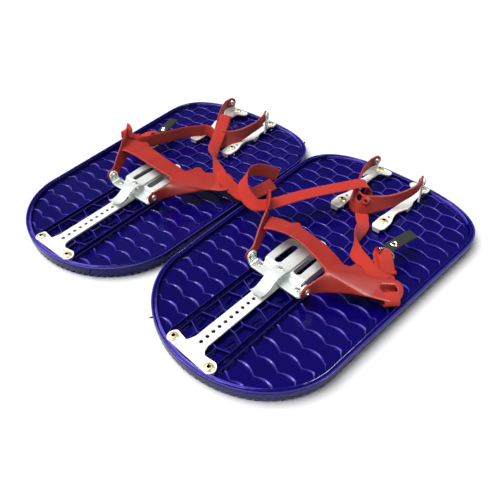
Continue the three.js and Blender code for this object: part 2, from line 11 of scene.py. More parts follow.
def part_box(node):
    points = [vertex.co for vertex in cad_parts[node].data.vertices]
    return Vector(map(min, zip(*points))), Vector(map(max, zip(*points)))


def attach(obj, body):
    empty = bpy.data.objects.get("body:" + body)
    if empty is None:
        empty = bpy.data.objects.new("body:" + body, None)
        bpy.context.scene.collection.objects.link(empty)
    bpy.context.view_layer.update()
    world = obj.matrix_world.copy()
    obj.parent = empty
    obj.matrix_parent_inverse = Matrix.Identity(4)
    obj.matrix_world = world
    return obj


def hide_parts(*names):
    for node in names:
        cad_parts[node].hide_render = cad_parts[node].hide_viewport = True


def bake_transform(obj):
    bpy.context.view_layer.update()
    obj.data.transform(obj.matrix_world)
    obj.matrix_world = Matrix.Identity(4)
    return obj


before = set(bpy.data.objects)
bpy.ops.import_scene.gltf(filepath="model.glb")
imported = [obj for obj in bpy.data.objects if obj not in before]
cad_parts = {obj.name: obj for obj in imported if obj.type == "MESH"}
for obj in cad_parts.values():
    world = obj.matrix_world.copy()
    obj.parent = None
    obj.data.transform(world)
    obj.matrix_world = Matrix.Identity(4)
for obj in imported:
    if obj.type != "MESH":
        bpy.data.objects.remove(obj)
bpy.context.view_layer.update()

# Studio: a seamless pale floor under a wide soft light, with two small soft boxes that draw
# the bright lines on the ribs. The camera looks over the right shoe's tail.
FLOOR_SIZE = 14.0
CAMERA_PLACE = (0.380, -0.395, 0.465)
CAMERA_TURN = (45.66, 0.29, 41.30)
CAMERA_LENS = 34.42


def colour(code):
    """An sRGB hex value as linear red, green, blue and alpha."""
    parts = [int(code[i : i + 2], 16) / 255 for i in (1, 3, 5)]
    return [p / 12.92 if p <= 0.04045 else ((p + 0.055) / 1.055) ** 2.4 for p in parts] + [1]


def add(tree, kind, settings=None, links=None):
    """A new node with its settings, which are sockets or properties, and its links."""
    node = tree.nodes.new(kind)
    for name, value in (settings or {}).items():
        if isinstance(name, int) or name in node.inputs:
            node.inputs[name].default_value = value
        else:
            setattr(node, name, value)
    for name, source in (links or {}).items():
        tree.links.new(source, node.inputs[name])
    return node


def new_material(name, base, settings):
    """A material with one principled shader that has a base colour and settings."""
    made = bpy.data.materials.new(name)
    made.use_nodes = True
    tree = made.node_tree
    shader = tree.nodes["Principled BSDF"]
    shader.inputs["Base Color"].default_value = colour(base)
    for socket, value in settings.items():
        shader.inputs[socket].default_value = value
    return made, tree, shader


def put(name, data):
    """A new object in the scene that holds data."""
    thing = bpy.data.objects.new(name, data)
    bpy.context.collection.objects.link(thing)
    return thing


def mesh_of(name, points, faces, edges=()):
    """A mesh from its points and faces."""
    mesh = bpy.data.meshes.new(name)
    mesh.from_pydata(points, edges, faces)
    return mesh


world = bpy.data.worlds.new("studio_world")
bpy.context.scene.world = world
world.use_nodes = True
world.node_tree.nodes["Background"].inputs["Color"].default_value = colour("#F2F4F8")
world.node_tree.nodes["Background"].inputs["Strength"].default_value = 0.24
bpy.context.scene.view_settings.view_transform = "Standard"

half = FLOOR_SIZE / 2
floor_corners = [(-half, -half, 0), (half, -half, 0), (half, half, 0), (-half, half, 0)]
floor_mesh = mesh_of("floor", floor_corners, [(0, 1, 2, 3)])
floor = put("floor", floor_mesh)
floor.location.z = -0.0004
floor_paint, _, _ = new_material("floor_paint", "#F6F6F6", {"Roughness": 0.9})
floor_mesh.materials.append(floor_paint)

sky = bpy.data.lights.new("wide_light", "SUN")
sky.energy = 3.6
sky.angle = math.radians(50)
put("wide_light", sky).rotation_euler = (math.radians(10), math.radians(-27), 0)

# Both boxes are seen only in reflections: one on the right, and one on the left in front.
for word, place, size, energy in (
    ("right_box", (0.9, 0.2, 0.9), 0.5, 30),
    ("left_box", (-0.38, -0.97, 1.08), 0.3, 9),
):
    box_light = bpy.data.lights.new(word, "AREA")
    box_light.size = size
    box_light.energy = energy
    box_object = put(word, box_light)
    box_object.location = place
    box_object.rotation_euler = Vector(place).to_track_quat("Z", "Y").to_euler()
    box_object.visible_diffuse = False

camera = bpy.data.cameras.new("camera")
camera.lens = CAMERA_LENS
camera.sensor_width = 36
camera_object = put("camera", camera)
camera_object.location = CAMERA_PLACE
camera_object.rotation_euler = [math.radians(a) for a in CAMERA_TURN]
bpy.context.scene.camera = camera_object

# The decks: one glossy tray each, moulded in deep violet blue, with a rolled rim, a smooth
# floor crossed by wavy ribs, a raised channel for the length bar, and a toothed lower edge.
TAIL_HALF_WIDTH = 131
TAIL_LENGTH = 111.7
TAIL_CENTRE_Y = 95.8
TOE_HALF_WIDTH = 146.4
TOE_LENGTH = 86.5
TOE_CENTRE_Y = 363.6
TOE_EXPONENT = 2.68
FLOOR_Z = 10.4
UNDER_Z = 8.0
RIB_HEIGHT = 2.6
OUTLINE_POINTS = 300
WAVE_PERIOD = 31
CUSP_X = (-7.5, 8.0)
# How far out from the centre line the links between two rows go, where it isn't 72.
LINK_REACH = {15: 104, 16: 120, 17: 134, 18: 121}
FIRST_ROW_Y = 9.5
ROW_PITCH = 20.9
ROW_GROWTH = 0.085
ROW_COUNT = 20
ROW_INSET = 14
RIB_STEP = 2.4
FIRST_FRONT_ROW = 10
FIRST_DEEP_ROW = 16
CHANNEL_HALF = 42
CHANNEL_END_Y = 208
RAIL_X = (32.5, 40.5)
RAIL_HEIGHT = 5.9
RAIL_STEP = 3
HEX_PITCH = 43.75
HEX_COUNT = 5
FIRST_HEX_Y = 16
HEX_SIDE_X = 16
HEX_CORNER = 7.5
CLEAT_PITCH = 38
CLEAT_COUNT = 12
MM = 0.001

shoe_frames = {}
for side in ("right", "left"):
    corners = [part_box(f"{side}_bar_screw_{word}") for word in ("outer", "inner")]
    outer, inner = [(low + high) / 2 for low, high in corners]
    across = (outer - inner).normalized()
    ahead = Vector((-across.y, across.x, 0))
    ahead = ahead if ahead.y > 0 else -ahead
    start = (outer + inner) / 2
    shoe_frames[side] = Matrix(
        (
            (across.x * MM, ahead.x * MM, 0, start.x),
            (across.y * MM, ahead.y * MM, 0, start.y),
            (0, 0, MM, 0),
            (0, 0, 0, 1),
        )
    )


def plain_mesh(thing):
    """The evaluated mesh of an object, which is removed."""
    bpy.context.view_layer.update()
    graph = bpy.context.evaluated_depsgraph_get()
    mesh = bpy.data.meshes.new_from_object(thing.evaluated_get(graph))
    bpy.data.objects.remove(thing)
    return mesh


def joined(name, meshes):
    """Several meshes as one."""
    points = []
    faces = []
    for mesh in meshes:
        base = len(points)
        points += [v.co.copy() for v in mesh.vertices]
        faces += [[base + i for i in p.vertices] for p in mesh.polygons]
    return mesh_of(name, points, faces)


def both_shoes(name, mesh, finish, smooth):
    """The mesh, or each side's own, as a piece on each shoe with soft shading up to an angle."""
    for side, placing in shoe_frames.items():
        own = (mesh[side] if isinstance(mesh, dict) else mesh).copy()
        own.name = f"{side}_{name}"
        own.transform(placing)
        if placing.determinant() < 0:
            own.flip_normals()
        own.materials.clear()
        own.materials.append(finish)
        for polygon in own.polygons:
            polygon.material_index = 0
            polygon.use_smooth = True
        own.set_sharp_from_angle(angle=math.radians(smooth))
        yield side, put(f"{side}_{name}", own)


def fit(name, mesh, finish, body, slot, *nodes, smooth=35):
    """The mesh as a piece on each shoe, which rides a body and stands for that shoe's nodes."""
    for side, piece in both_shoes(name, mesh, finish, smooth):
        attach(piece, f"{side}_{body}")
        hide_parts(*[f"{side}_{node}" for node in nodes])


def deck_outline():
    """Evenly spaced points round the deck, anticlockwise, each with its outward direction."""
    dense = []
    for i in range(400):
        a = math.pi + math.pi * i / 400
        y = TAIL_CENTRE_Y + TAIL_LENGTH * math.sin(a)
        dense.append(Vector((TAIL_HALF_WIDTH * math.cos(a), y)))
    for i in range(401):
        a = math.pi * i / 400
        reach = abs(math.cos(a)) ** (2 / TOE_EXPONENT) * math.copysign(1, math.cos(a))
        rise = max(math.sin(a), 0) ** (2 / TOE_EXPONENT)
        dense.append(Vector((TOE_HALF_WIDTH * reach, TOE_CENTRE_Y + TOE_LENGTH * rise)))
    dense.append(dense[0])
    lengths = [(b - a).length for a, b in zip(dense, dense[1:])]
    step = sum(lengths) / OUTLINE_POINTS
    even = []
    walked = 0
    for point, ahead_point, length in zip(dense, dense[1:], lengths):
        while len(even) * step < walked + length - 1e-6 and len(even) < OUTLINE_POINTS:
            even.append(point.lerp(ahead_point, (len(even) * step - walked) / length))
        walked += length
    found = []
    for i, point in enumerate(even):
        along = even[(i + 1) % OUTLINE_POINTS] - even[i - 1]
        found.append((point, Vector((along.y, -along.x)).normalized()))
    return found


def inside_half(y, inset):
    """Half the deck's width at y, less inset."""
    if y < TAIL_CENTRE_Y:
        share = (TAIL_CENTRE_Y - y) / TAIL_LENGTH
        return TAIL_HALF_WIDTH * math.sqrt(max(1 - share**2, 0)) - inset
    if y < TOE_CENTRE_Y:
        share = (y - TAIL_CENTRE_Y) / (TOE_CENTRE_Y - TAIL_CENTRE_Y)
        return TAIL_HALF_WIDTH + (TOE_HALF_WIDTH - TAIL_HALF_WIDTH) * share - inset
    share = min((y - TOE_CENTRE_Y) / TOE_LENGTH, 1)
    return TOE_HALF_WIDTH * (1 - share**TOE_EXPONENT) ** (1 / TOE_EXPONENT) - inset


# The shell's section, from the edge of the tray's floor over the rim and down to the hollow
# underneath: how far in from the outline, and how high.
RIM_SECTION = [
    (8.6, FLOOR_Z), (7.7, 10.7), (7.2, 11.6), (6.9, 15.4), (6.6, 16.1), (6.0, 16.4), (5.4, 16.1),
    (5.1, 15.5), (3.6, 15.2), (2.9, 15.5), (2.5, 16.4), (1.9, 16.9), (1.2, 17.0), (0.5, 16.7),
    (0.1, 16.0), (0.0, 15.0), (0.0, 9.0), (0.3, 5.0), (0.9, 4.5), (3.3, 4.5), (3.9, 5.0), (4.3, UNDER_Z),
]
shell_outline = deck_outline()
points = []
for inset, z in RIM_SECTION:
    points += [(*(point - outward * inset), z) for point, outward in shell_outline]
faces = [list(range(OUTLINE_POINTS))]
for ring in range(len(RIM_SECTION) - 1):
    for i in range(OUTLINE_POINTS):
        a = ring * OUTLINE_POINTS + i
        b = ring * OUTLINE_POINTS + (i + 1) % OUTLINE_POINTS
        faces.append([a + OUTLINE_POINTS, b + OUTLINE_POINTS, b, a])
last_ring = (len(RIM_SECTION) - 1) * OUTLINE_POINTS
faces.append([last_ring + i for i in reversed(range(OUTLINE_POINTS))])
shell = mesh_of("shell", points, faces)

# Centre lines of everything moulded up from the floor, as chains of x, y, half width, height.
lines = []


def row_y(row):
    """How far along the deck a row of ribs lies."""
    return FIRST_ROW_Y + ROW_PITCH * row + ROW_GROWTH * row**2


def cusp_x(row):
    """A cusp between two arches of a row. Odd rows are shifted by half an arch."""
    return CUSP_X[row % 2]


def wave(row, x):
    """How far along one arch of a row x is: 0 at a cusp and 1 at the crown."""
    return abs(math.sin(math.pi * (x - cusp_x(row)) / WAVE_PERIOD))


def wave_y(row, x):
    """Where a row's rib runs at x. The arches are deepest between the toe brackets."""
    deep = abs(x) < 33 and row >= FIRST_DEEP_ROW
    swing = 7.5 if deep else (4.0 if row >= FIRST_FRONT_ROW else 5.2)
    return row_y(row) + swing * (wave(row, x) - 0.6)


for row in range(ROW_COUNT):
    y = row_y(row)
    reach = inside_half(y, ROW_INSET)
    spans = [(-reach, reach)]
    if y < CHANNEL_END_Y:
        spans = [(-reach, -CHANNEL_HALF), (CHANNEL_HALF, reach)]
    front = row >= FIRST_FRONT_ROW
    for x0, x1 in spans:
        chain = []
        count = round((x1 - x0) / RIB_STEP)
        for i in range(count + 1):
            x = x0 + (x1 - x0) * i / count
            crown = wave(row, x)
            half_width = 0.95 + 0.3 * crown if front else 0.7 + 1.3 * crown**2
            chain.append((x, wave_y(row, x), half_width, RIB_HEIGHT))
        # An outer end thins out as it turns towards the tail.
        if abs(x0) > CHANNEL_HALF:
            chain.insert(0, (x0 - 5.5, chain[0][1] - 7, 0.5, 1.2))
        if abs(x1) > CHANNEL_HALF:
            chain.append((x1 + 5.5, chain[-1][1] - 7, 0.5, 1.2))
        lines.append(chain)
    link_reach = LINK_REACH.get(row, 72)
    if front and row < ROW_COUNT - 1:
        for j in range(-5, 6):
            x = cusp_x(row + 1) + j * WAVE_PERIOD
            if abs(x) < link_reach:
                low_y = wave_y(row, x)
                high_y = wave_y(row + 1, x)
                lines.append([(x + 1.2, low_y, 1.0, RIB_HEIGHT), (x, high_y, 1.2, RIB_HEIGHT)])

for s in (-1, 1):
    for rail_x in RAIL_X:
        lines.append([(s * rail_x, 4 + RAIL_STEP * i, 1.3, RAIL_HEIGHT) for i in range(67)])
    for k in range(HEX_COUNT):
        y = FIRST_HEX_Y + k * HEX_PITCH
        tall = RAIL_HEIGHT - 0.3
        low, high = [(s * HEX_SIDE_X, y + t * HEX_CORNER, 1.9, tall) for t in (-1, 1)]
        lines.append([low, (s * (HEX_SIDE_X + 0.4), y, 1.4, tall), high])
        for t, corner in ((-1, low), (1, high)):
            lines.append([corner, (s * RAIL_X[0], y + t * 13.5, 1.2, tall)])
            lines.append([(s * 9, y + t * 8.6, 2.2, tall), (s * 16, y + t * 7.6, 2.2, tall)])
        lines.append([(s * 22, y + 15, 1.0, 3.6), (s * 24, y + 28.5, 1.0, 3.6)])


def new_tree(name, inputs):
    """A geometry nodes tree with named inputs, and the node that gives them."""
    tree = bpy.data.node_groups.new(name, "GeometryNodeTree")
    for word, kind in {"Geometry": "Geometry", **inputs, "Material": "Material"}.items():
        tree.interface.new_socket(word, in_out="INPUT", socket_type=f"NodeSocket{kind}")
    tree.interface.new_socket("Geometry", in_out="OUTPUT", socket_type="NodeSocketGeometry")
    return tree, add(tree, "NodeGroupInput")


def end_tree(tree, given, geometry):
    """Makes any instances real, gives the result its material and ends the tree."""
    real = add(tree, "GeometryNodeRealizeInstances", {}, {0: geometry})
    links = {"Geometry": real.outputs[0], "Material": given.outputs["Material"]}
    painted = add(tree, "GeometryNodeSetMaterial", {}, links)
    add(tree, "NodeGroupOutput", {}, {0: painted.outputs[0]})


# Geometry nodes sweep one rounded rib along each centre line.
ribs, given = new_tree("moulded_ribs", {"Floor height": "Float", "Root depth": "Float"})
half_width = add(ribs, "GeometryNodeInputNamedAttribute", {"Name": "half_width"})
height = add(ribs, "GeometryNodeInputNamedAttribute", {"Name": "height"})
as_curve = add(ribs, "GeometryNodeMeshToCurve", {}, {0: given.outputs["Geometry"]})
section = add(ribs, "GeometryNodeCurvePrimitiveCircle", {"Resolution": 8, "Radius": 1.0})
swept = add(
    ribs,
    "GeometryNodeCurveToMesh",
    {"Fill Caps": True},
    {"Curve": as_curve.outputs[0], "Profile Curve": section.outputs[0], "Scale": half_width.outputs[0]},
)
position = add(ribs, "GeometryNodeInputPosition")
parts = add(ribs, "ShaderNodeSeparateXYZ", {}, {0: position.outputs[0]})
value = parts.outputs["Z"]
for operation, other in (
    ("SUBTRACT", given.outputs["Floor height"]),
    ("DIVIDE", half_width.outputs[0]),
    ("MULTIPLY", height.outputs[0]),
    ("MAXIMUM", given.outputs["Root depth"]),
    ("ADD", given.outputs["Floor height"]),
):
    value = add(ribs, "ShaderNodeMath", {"operation": operation}, {0: value, 1: other}).outputs[0]
moved = add(ribs, "ShaderNodeCombineXYZ", {}, {"X": parts.outputs["X"], "Y": parts.outputs["Y"], "Z": value})
shaped = add(
    ribs, "GeometryNodeSetPosition", {}, {"Geometry": swept.outputs[0], "Position": moved.outputs[0]}
)
end_tree(ribs, given, shaped.outputs[0])


def run_nodes(name, mesh, tree, values):
    """The mesh after a geometry nodes tree with its named inputs set."""
    thing = put(name, mesh)
    modifier = thing.modifiers.new(name, "NODES")
    modifier.node_group = tree
    for item in tree.interface.items_tree:
        if item.item_type == "SOCKET" and item.in_out == "INPUT" and item.name in values:
            modifier[item.identifier] = values[item.name]
    return plain_mesh(thing)


def chains_mesh(name, chains, z):
    """Chains of x, y, half width and height as loose edges with those attributes."""
    points = [(x, y, z) for chain in chains for x, y, _, _ in chain]
    edges = []
    base = 0
    for chain in chains:
        edges += [(base + i, base + i + 1) for i in range(len(chain) - 1)]
        base += len(chain)
    mesh = mesh_of(name, points, [], edges)
    for index, word in ((2, "half_width"), (3, "height")):
        values = [entry[index] for chain in chains for entry in chain]
        mesh.attributes.new(word, "FLOAT", "POINT").data.foreach_set("value", values)
    return mesh


# Deck plastic: polypropylene moulded in a polished tool, tinted right through. It is glossy and almost black
# in the pockets. Painted highlight: the rib crowns and the rim's beads are painted paler.
deck_plastic, tree, shader = new_material(
    "moulded_violet_polypropylene",
    "#16006E",
    {"Roughness": 0.2, "IOR": 1.45, "Specular IOR Level": 0.22},
)
place = add(tree, "ShaderNodeTexCoord")
crown = add(tree, "ShaderNodeAttribute", {"attribute_name": "crown"})
cloud = add(tree, "ShaderNodeTexNoise", {"Scale": 45.0, "Detail": 3.0}, {"Vector": place.outputs["Object"]})
body_mix = add(
    tree,
    "ShaderNodeMix",
    {"data_type": "RGBA", 6: colour("#03004A"), 7: colour("#0B0068")},
    {0: cloud.outputs["Fac"]},
)
# Painted highlight: the crown attribute mixes in pale violet on the rib crowns and the rim beads.
highlight_mix = add(
    tree,
    "ShaderNodeMix",
    {"data_type": "RGBA", 7: colour("#5A48C4")},
    {0: crown.outputs["Fac"], 6: body_mix.outputs[2]},
)
tree.links.new(highlight_mix.outputs[2], shader.inputs["Base Color"])
# Flow waves about 9 mm long, left by the melt as it cooled, break up the reflections.
waves = add(tree, "ShaderNodeTexNoise", {"Scale": 110.0, "Detail": 2.0}, {"Vector": place.outputs["Object"]})
bump = add(
    tree, "ShaderNodeBump", {"Strength": 0.35, "Distance": 0.0012}, {"Height": waves.outputs["Fac"]}
)
tree.links.new(bump.outputs["Normal"], shader.inputs["Normal"])

rib_values = {"Floor height": FLOOR_Z, "Root depth": -1.5, "Material": deck_plastic}
rib_mesh = run_nodes("rib_lines", chains_mesh("rib_lines", lines, FLOOR_Z), ribs, rib_values)

# Geometry nodes stand one wedge tooth on each step along the wall's lower edge.
teeth, given = new_tree("edge_teeth", dict.fromkeys(("Pitch", "Length", "Thickness", "Drop"), "Float"))
edge = add(teeth, "GeometryNodeMeshToCurve", {}, {0: given.outputs["Geometry"]})
steps = add(
    teeth,
    "GeometryNodeResampleCurve",
    {"mode": "LENGTH"},
    {"Curve": edge.outputs[0], "Length": given.outputs["Pitch"]},
)
tangent = add(teeth, "GeometryNodeInputTangent")
turned = add(teeth, "FunctionNodeAlignRotationToVector", {"axis": "X"}, {"Vector": tangent.outputs[0]})
wedge = add(
    teeth,
    "GeometryNodeMeshCone",
    {"Vertices": 4, "Radius Top": 0.8, "Radius Bottom": 0.42, "Depth": 1.0},
)
square = add(
    teeth,
    "GeometryNodeTransform",
    {"Rotation": (0.0, 0.0, math.pi / 4)},
    {"Geometry": wedge.outputs["Mesh"]},
)
size = add(
    teeth,
    "ShaderNodeCombineXYZ",
    {},
    {"X": given.outputs["Length"], "Y": given.outputs["Thickness"], "Z": given.outputs["Drop"]},
)
stood = add(
    teeth,
    "GeometryNodeInstanceOnPoints",
    {},
    {
        "Points": steps.outputs[0],
        "Instance": square.outputs[0],
        "Rotation": turned.outputs[0],
        "Scale": size.outputs[0],
    },
)
end_tree(teeth, given, stood.outputs[0])

TOOTH_THICKNESS = 3.6
TOOTH_DROP = 6.5
TOOTH_Z = 0.15
wall_line = [point - outward * 2 for point, outward in shell_outline]
# The outline starts beside the tail, so the tail's chain takes it from half way round.
from_half_way = wall_line[OUTLINE_POINTS // 2 :] + wall_line[: OUTLINE_POINTS // 2]
tail_chain = [(p.x, p.y, 1, 1) for p in from_half_way if p.y < 120]
side_chains = [[(p.x, p.y, 1, 1) for p in wall_line if p.y >= 118 and s * p.x > 0] for s in (-1, 1)]
edge_teeth = []
for word, chains, pitch, length in (
    ("tail_teeth", [tail_chain], 9.0, 6.5),
    ("side_teeth", side_chains, 19.0, 12.0),
):
    tooth = {"Pitch": pitch, "Length": length, "Thickness": TOOTH_THICKNESS, "Drop": TOOTH_DROP}
    tooth["Material"] = deck_plastic
    edge_teeth.append(run_nodes(word, chains_mesh(word, chains, TOOTH_Z), teeth, tooth))

# Serrated cleats across the snow side.
cleats = []
cleat_top = UNDER_Z + 0.6
for k in range(CLEAT_COUNT):
    y = 8 + k * CLEAT_PITCH
    reach = inside_half(y, 3.5)
    count = max(round(reach / 4.5), 4)
    points = []
    for i in range(-count, count + 1):
        x = reach * i / count
        foot = 0.05 if i % 2 else 2.6
        points += [(x, y - 2, cleat_top), (x, y + 2, cleat_top), (x, y + 0.8, foot), (x, y - 0.8, foot)]
    faces = [[0, 1, 2, 3], [len(points) - 1 - i for i in range(4)]]
    for i in range(2 * count):
        for a, b in ((0, 1), (1, 2), (2, 3), (3, 0)):
            faces.append([i * 4 + a, i * 4 + 4 + a, i * 4 + 4 + b, i * 4 + b])
    cleats.append(mesh_of("cleat", points, faces))


def lathe(profile, place, steps=24):
    """A turned body: radius and height pairs from the axis back to the axis, standing at x, y."""
    points = []
    for radius, z in profile:
        for i in range(steps):
            a = 2 * math.pi * i / steps
            points.append((place[0] + radius * math.cos(a), place[1] + radius * math.sin(a), z))
    faces = [list(reversed(range(steps)))]
    for ring in range(len(profile) - 1):
        for i in range(steps):
            a = ring * steps + i
            b = ring * steps + (i + 1) % steps
            faces.append([a, b, b + steps, a + steps])
    faces.append([(len(profile) - 1) * steps + i for i in range(steps)])
    return mesh_of("turned", points, faces)


T_SCREW_X = 29.4
BAR_SCREWS = [(-T_SCREW_X, 0), (T_SCREW_X, 0)]
REAR_SCREWS = [(-36, 331), (36, 331)]
FRONT_SCREWS = [(-38, 436), (38, 436)]
BAR_BOSS = [(7.6, 9), (7.6, 10.5), (7, 11), (7, 13.2), (6.6, 13.6)]
TOE_BOSS = [(7.8, 9), (7.8, 10.5), (7, 11.5), (7, 16.7), (6.6, 17.1)]
bosses = [lathe(BAR_BOSS, p) for p in BAR_SCREWS]
bosses += [lathe(TOE_BOSS, p) for p in REAR_SCREWS + FRONT_SCREWS]

deck_mesh = joined("deck", [shell, rib_mesh, *edge_teeth, *cleats, *bosses])
# Painted highlight: how pale each point is painted, full on the rib crowns and part way on the two beads of
# the rim.
painted_highlight = []
for vertex in deck_mesh.vertices:
    x, y, z = vertex.co
    in_channel = abs(x) < CHANNEL_HALF + 1 and y < CHANNEL_END_Y + 2
    on_rim = abs(x) > inside_half(y, 9) or y > TOE_CENTRE_Y + TOE_LENGTH - 9
    low = 16.1 if on_rim else FLOOR_Z + (4.6 if in_channel else 1.5)
    share = min(max((z - low) / 0.6, 0), 1)
    painted_highlight.append(share * (0.4 if on_rim else 1))
deck_mesh.attributes.new("crown", "FLOAT", "POINT").data.foreach_set("value", painted_highlight)
fit("deck_tray", deck_mesh, deck_plastic, "shoe", "deck_plastic", "deck")

# The length bar: a T of pressed steel strip with a row of holes, screwed down at the tail. Its
# foot steps down on to the deck. It is bright zinc plate worn to a pale satin.
HOLE_PITCH = 9.5
HOLE_COUNT = 23
FIRST_HOLE_Y = 15.8
HOLE_R = 2.4
SCREW_HOLE_R = 2.7
BAR_HALF = 10
BAR_END_Y = 239
BAR_UNDER = 16.7
STRIP_T = 2.5
T_HEAD_UNDER = 13.9
T_END_R = 8.4


def arc(x, y, radius, start, end, steps):
    """Points on an arc, from one angle to another in degrees."""
    found = []
    for i in range(steps + 1):
        a = math.radians(start + (end - start) * i / steps)
        found.append((x + radius * math.cos(a), y + radius * math.sin(a)))
    return found


def circle(x, y, radius):
    """A round hole's edge."""
    return arc(x, y, radius, 0, 345, 23)


def rounded(corners):
    """A closed outline from corners x, y and radius, each corner drawn as a small arc."""
    found = []
    for i, (x, y, radius) in enumerate(corners):
        here = Vector((x, y))
        back = Vector(corners[i - 1][:2]) - here
        on = Vector(corners[(i + 1) % len(corners)][:2]) - here
        reach = min(radius, back.length * 0.45, on.length * 0.45)
        for k in range(6):
            t = k / 5
            from_back = here + back.normalized() * reach * (1 - t)
            from_on = here + on.normalized() * reach * t
            found.append(tuple(from_back.lerp(from_on, t)))
    return found


def add_loop(curve, line):
    """A closed line of x, y points in a curve."""
    spline = curve.splines.new("POLY")
    spline.points.add(len(line) - 1)
    spline.points.foreach_set("co", [c for x, y in line for c in (x, y, 0, 1)])
    spline.use_cyclic_u = True


def pressed(name, outline, holes, thickness, edge):
    """A flat pressing with holes and softened edges, lying with its under face at z = 0."""
    flat = bpy.data.curves.new(name, "CURVE")
    flat.dimensions = "2D"
    flat.fill_mode = "BOTH"
    flat.extrude = thickness / 2 - edge
    flat.bevel_depth = edge
    flat.bevel_resolution = 2
    flat.offset = -edge
    # A hole wound the other way from the outline keeps its size when the edges are softened.
    for loop in [outline, *[hole[::-1] for hole in holes]]:
        add_loop(flat, loop)
    mesh = plain_mesh(put(name, flat))
    mesh.transform(Matrix.Translation((0, 0, thickness / 2)))
    return mesh


def bent(mesh, axis, cuts, shape):
    """The mesh cut on planes across an axis, with each point then moved by shape."""
    work = bmesh.new()
    work.from_mesh(mesh)
    bmesh.ops.remove_doubles(work, verts=work.verts, dist=1e-4)
    normal = [0, 0, 0]
    normal[axis] = 1
    for value in cuts:
        at = [0, 0, 0]
        at[axis] = value
        everything = work.verts[:] + work.edges[:] + work.faces[:]
        bmesh.ops.bisect_plane(work, geom=everything, plane_co=at, plane_no=normal)
    for vertex in work.verts:
        vertex.co = shape(vertex.co.copy())
    work.to_mesh(mesh)
    work.free()
    return mesh


def ramp(value, start, end):
    """A smooth rise from 0 at start to 1 at end."""
    t = min(max((value - start) / (end - start), 0), 1)
    return t * t * (3 - 2 * t)


bar_outline = (
    arc(T_SCREW_X, 0.4, T_END_R, -70, 78, 10)
    + arc(T_SCREW_X - 11, 13.5, 7, 250, 190, 4)
    + [(BAR_HALF, 17), (BAR_HALF, BAR_END_Y - BAR_HALF)]
    + arc(0, BAR_END_Y - BAR_HALF, BAR_HALF, 0, 180, 16)
    + [(-BAR_HALF, 17)]
    + arc(-T_SCREW_X + 11, 13.5, 7, -10, -70, 4)
    + arc(-T_SCREW_X, 0.4, T_END_R, 102, 250, 10)
)
bar_holes = [circle(0, FIRST_HOLE_Y + k * HOLE_PITCH, HOLE_R) for k in range(HOLE_COUNT)]
bar_holes += [circle(x, y, SCREW_HOLE_R) for x, y in BAR_SCREWS]
bar_mesh = bent(
    pressed("bar", bar_outline, bar_holes, STRIP_T, 0.35),
    1,
    [5, 6.5, 8, 9.5, 11],
    lambda p: Vector((p.x, p.y, p.z + T_HEAD_UNDER + (BAR_UNDER - T_HEAD_UNDER) * ramp(p.y, 5, 11))),
)

# Pale satin steel: zinc plate on cold-rolled strip. Fine rolling lines run along it, and
# handling leaves cloudy patches that are a little duller.
pale_steel, tree, shader = new_material(
    "satin_zinc_plated_strip", "#F0EDE2", {"Metallic": 0.1, "Roughness": 0.38}
)
place = add(tree, "ShaderNodeTexCoord")
stretch = add(tree, "ShaderNodeMapping", {"Scale": (1.0, 0.06, 1.0)}, {"Vector": place.outputs["Object"]})
grain = add(tree, "ShaderNodeTexNoise", {"Scale": 1600.0, "Detail": 2.0}, {"Vector": stretch.outputs[0]})
patch = add(tree, "ShaderNodeTexNoise", {"Scale": 60.0, "Detail": 4.0}, {"Vector": place.outputs["Object"]})
dull = add(
    tree, "ShaderNodeMapRange", {"To Min": 0.3, "To Max": 0.5}, {"Value": patch.outputs["Fac"]}
)
tint = add(
    tree,
    "ShaderNodeMix",
    {"data_type": "RGBA", 6: colour("#F0EDE4"), 7: colour("#FFFEFA")},
    {0: patch.outputs["Fac"]},
)
tree.links.new(tint.outputs[2], shader.inputs["Base Color"])
tree.links.new(dull.outputs["Result"], shader.inputs["Roughness"])
bump = add(tree, "ShaderNodeBump", {"Strength": 0.15, "Distance": 0.0002}, {"Height": grain.outputs["Fac"]})
tree.links.new(bump.outputs["Normal"], shader.inputs["Normal"])

fit("length_bar_strip", bar_mesh, pale_steel, "shoe", "bright_steel", "length_bar")

# Screws: pan heads in yellow-passivated zinc with a deep socket, stood on their places by
# geometry nodes. Two hold the bar and four hold the toe brackets on each shoe.
SCREW_HEAD_R = 6
screws, given = new_tree("screws", {"Screw": "Object"})
pattern = add(screws, "GeometryNodeObjectInfo", {}, {"Object": given.outputs["Screw"]})
stood = add(
    screws,
    "GeometryNodeInstanceOnPoints",
    {},
    {"Points": given.outputs["Geometry"], "Instance": pattern.outputs["Geometry"]},
)
end_tree(screws, given, stood.outputs[0])

# Yellow zinc: passivated plate over a turned steel head, glossy with a faint warm cast. The socket is painted
# near black, a painted shade in its recess.
yellow_zinc, tree, shader = new_material(
    "yellow_passivated_zinc", "#D8C48A", {"Metallic": 0.5, "Roughness": 0.3}
)
place = add(tree, "ShaderNodeTexCoord")
cast = add(tree, "ShaderNodeTexNoise", {"Scale": 350.0, "Detail": 2.0}, {"Vector": place.outputs["Object"]})
tint = add(
    tree,
    "ShaderNodeMix",
    {"data_type": "RGBA", 6: colour("#C8AE6A"), 7: colour("#F6ECC8")},
    {0: cast.outputs["Fac"]},
)
# Painted shade: the socket attribute mixes the head's colour to near black down in the socket.
socket = add(tree, "ShaderNodeAttribute", {"attribute_name": "socket"})
head = add(
    tree,
    "ShaderNodeMix",
    {"data_type": "RGBA", 7: colour("#120E08")},
    {0: socket.outputs["Fac"], 6: tint.outputs[2]},
)
tree.links.new(head.outputs[2], shader.inputs["Base Color"])

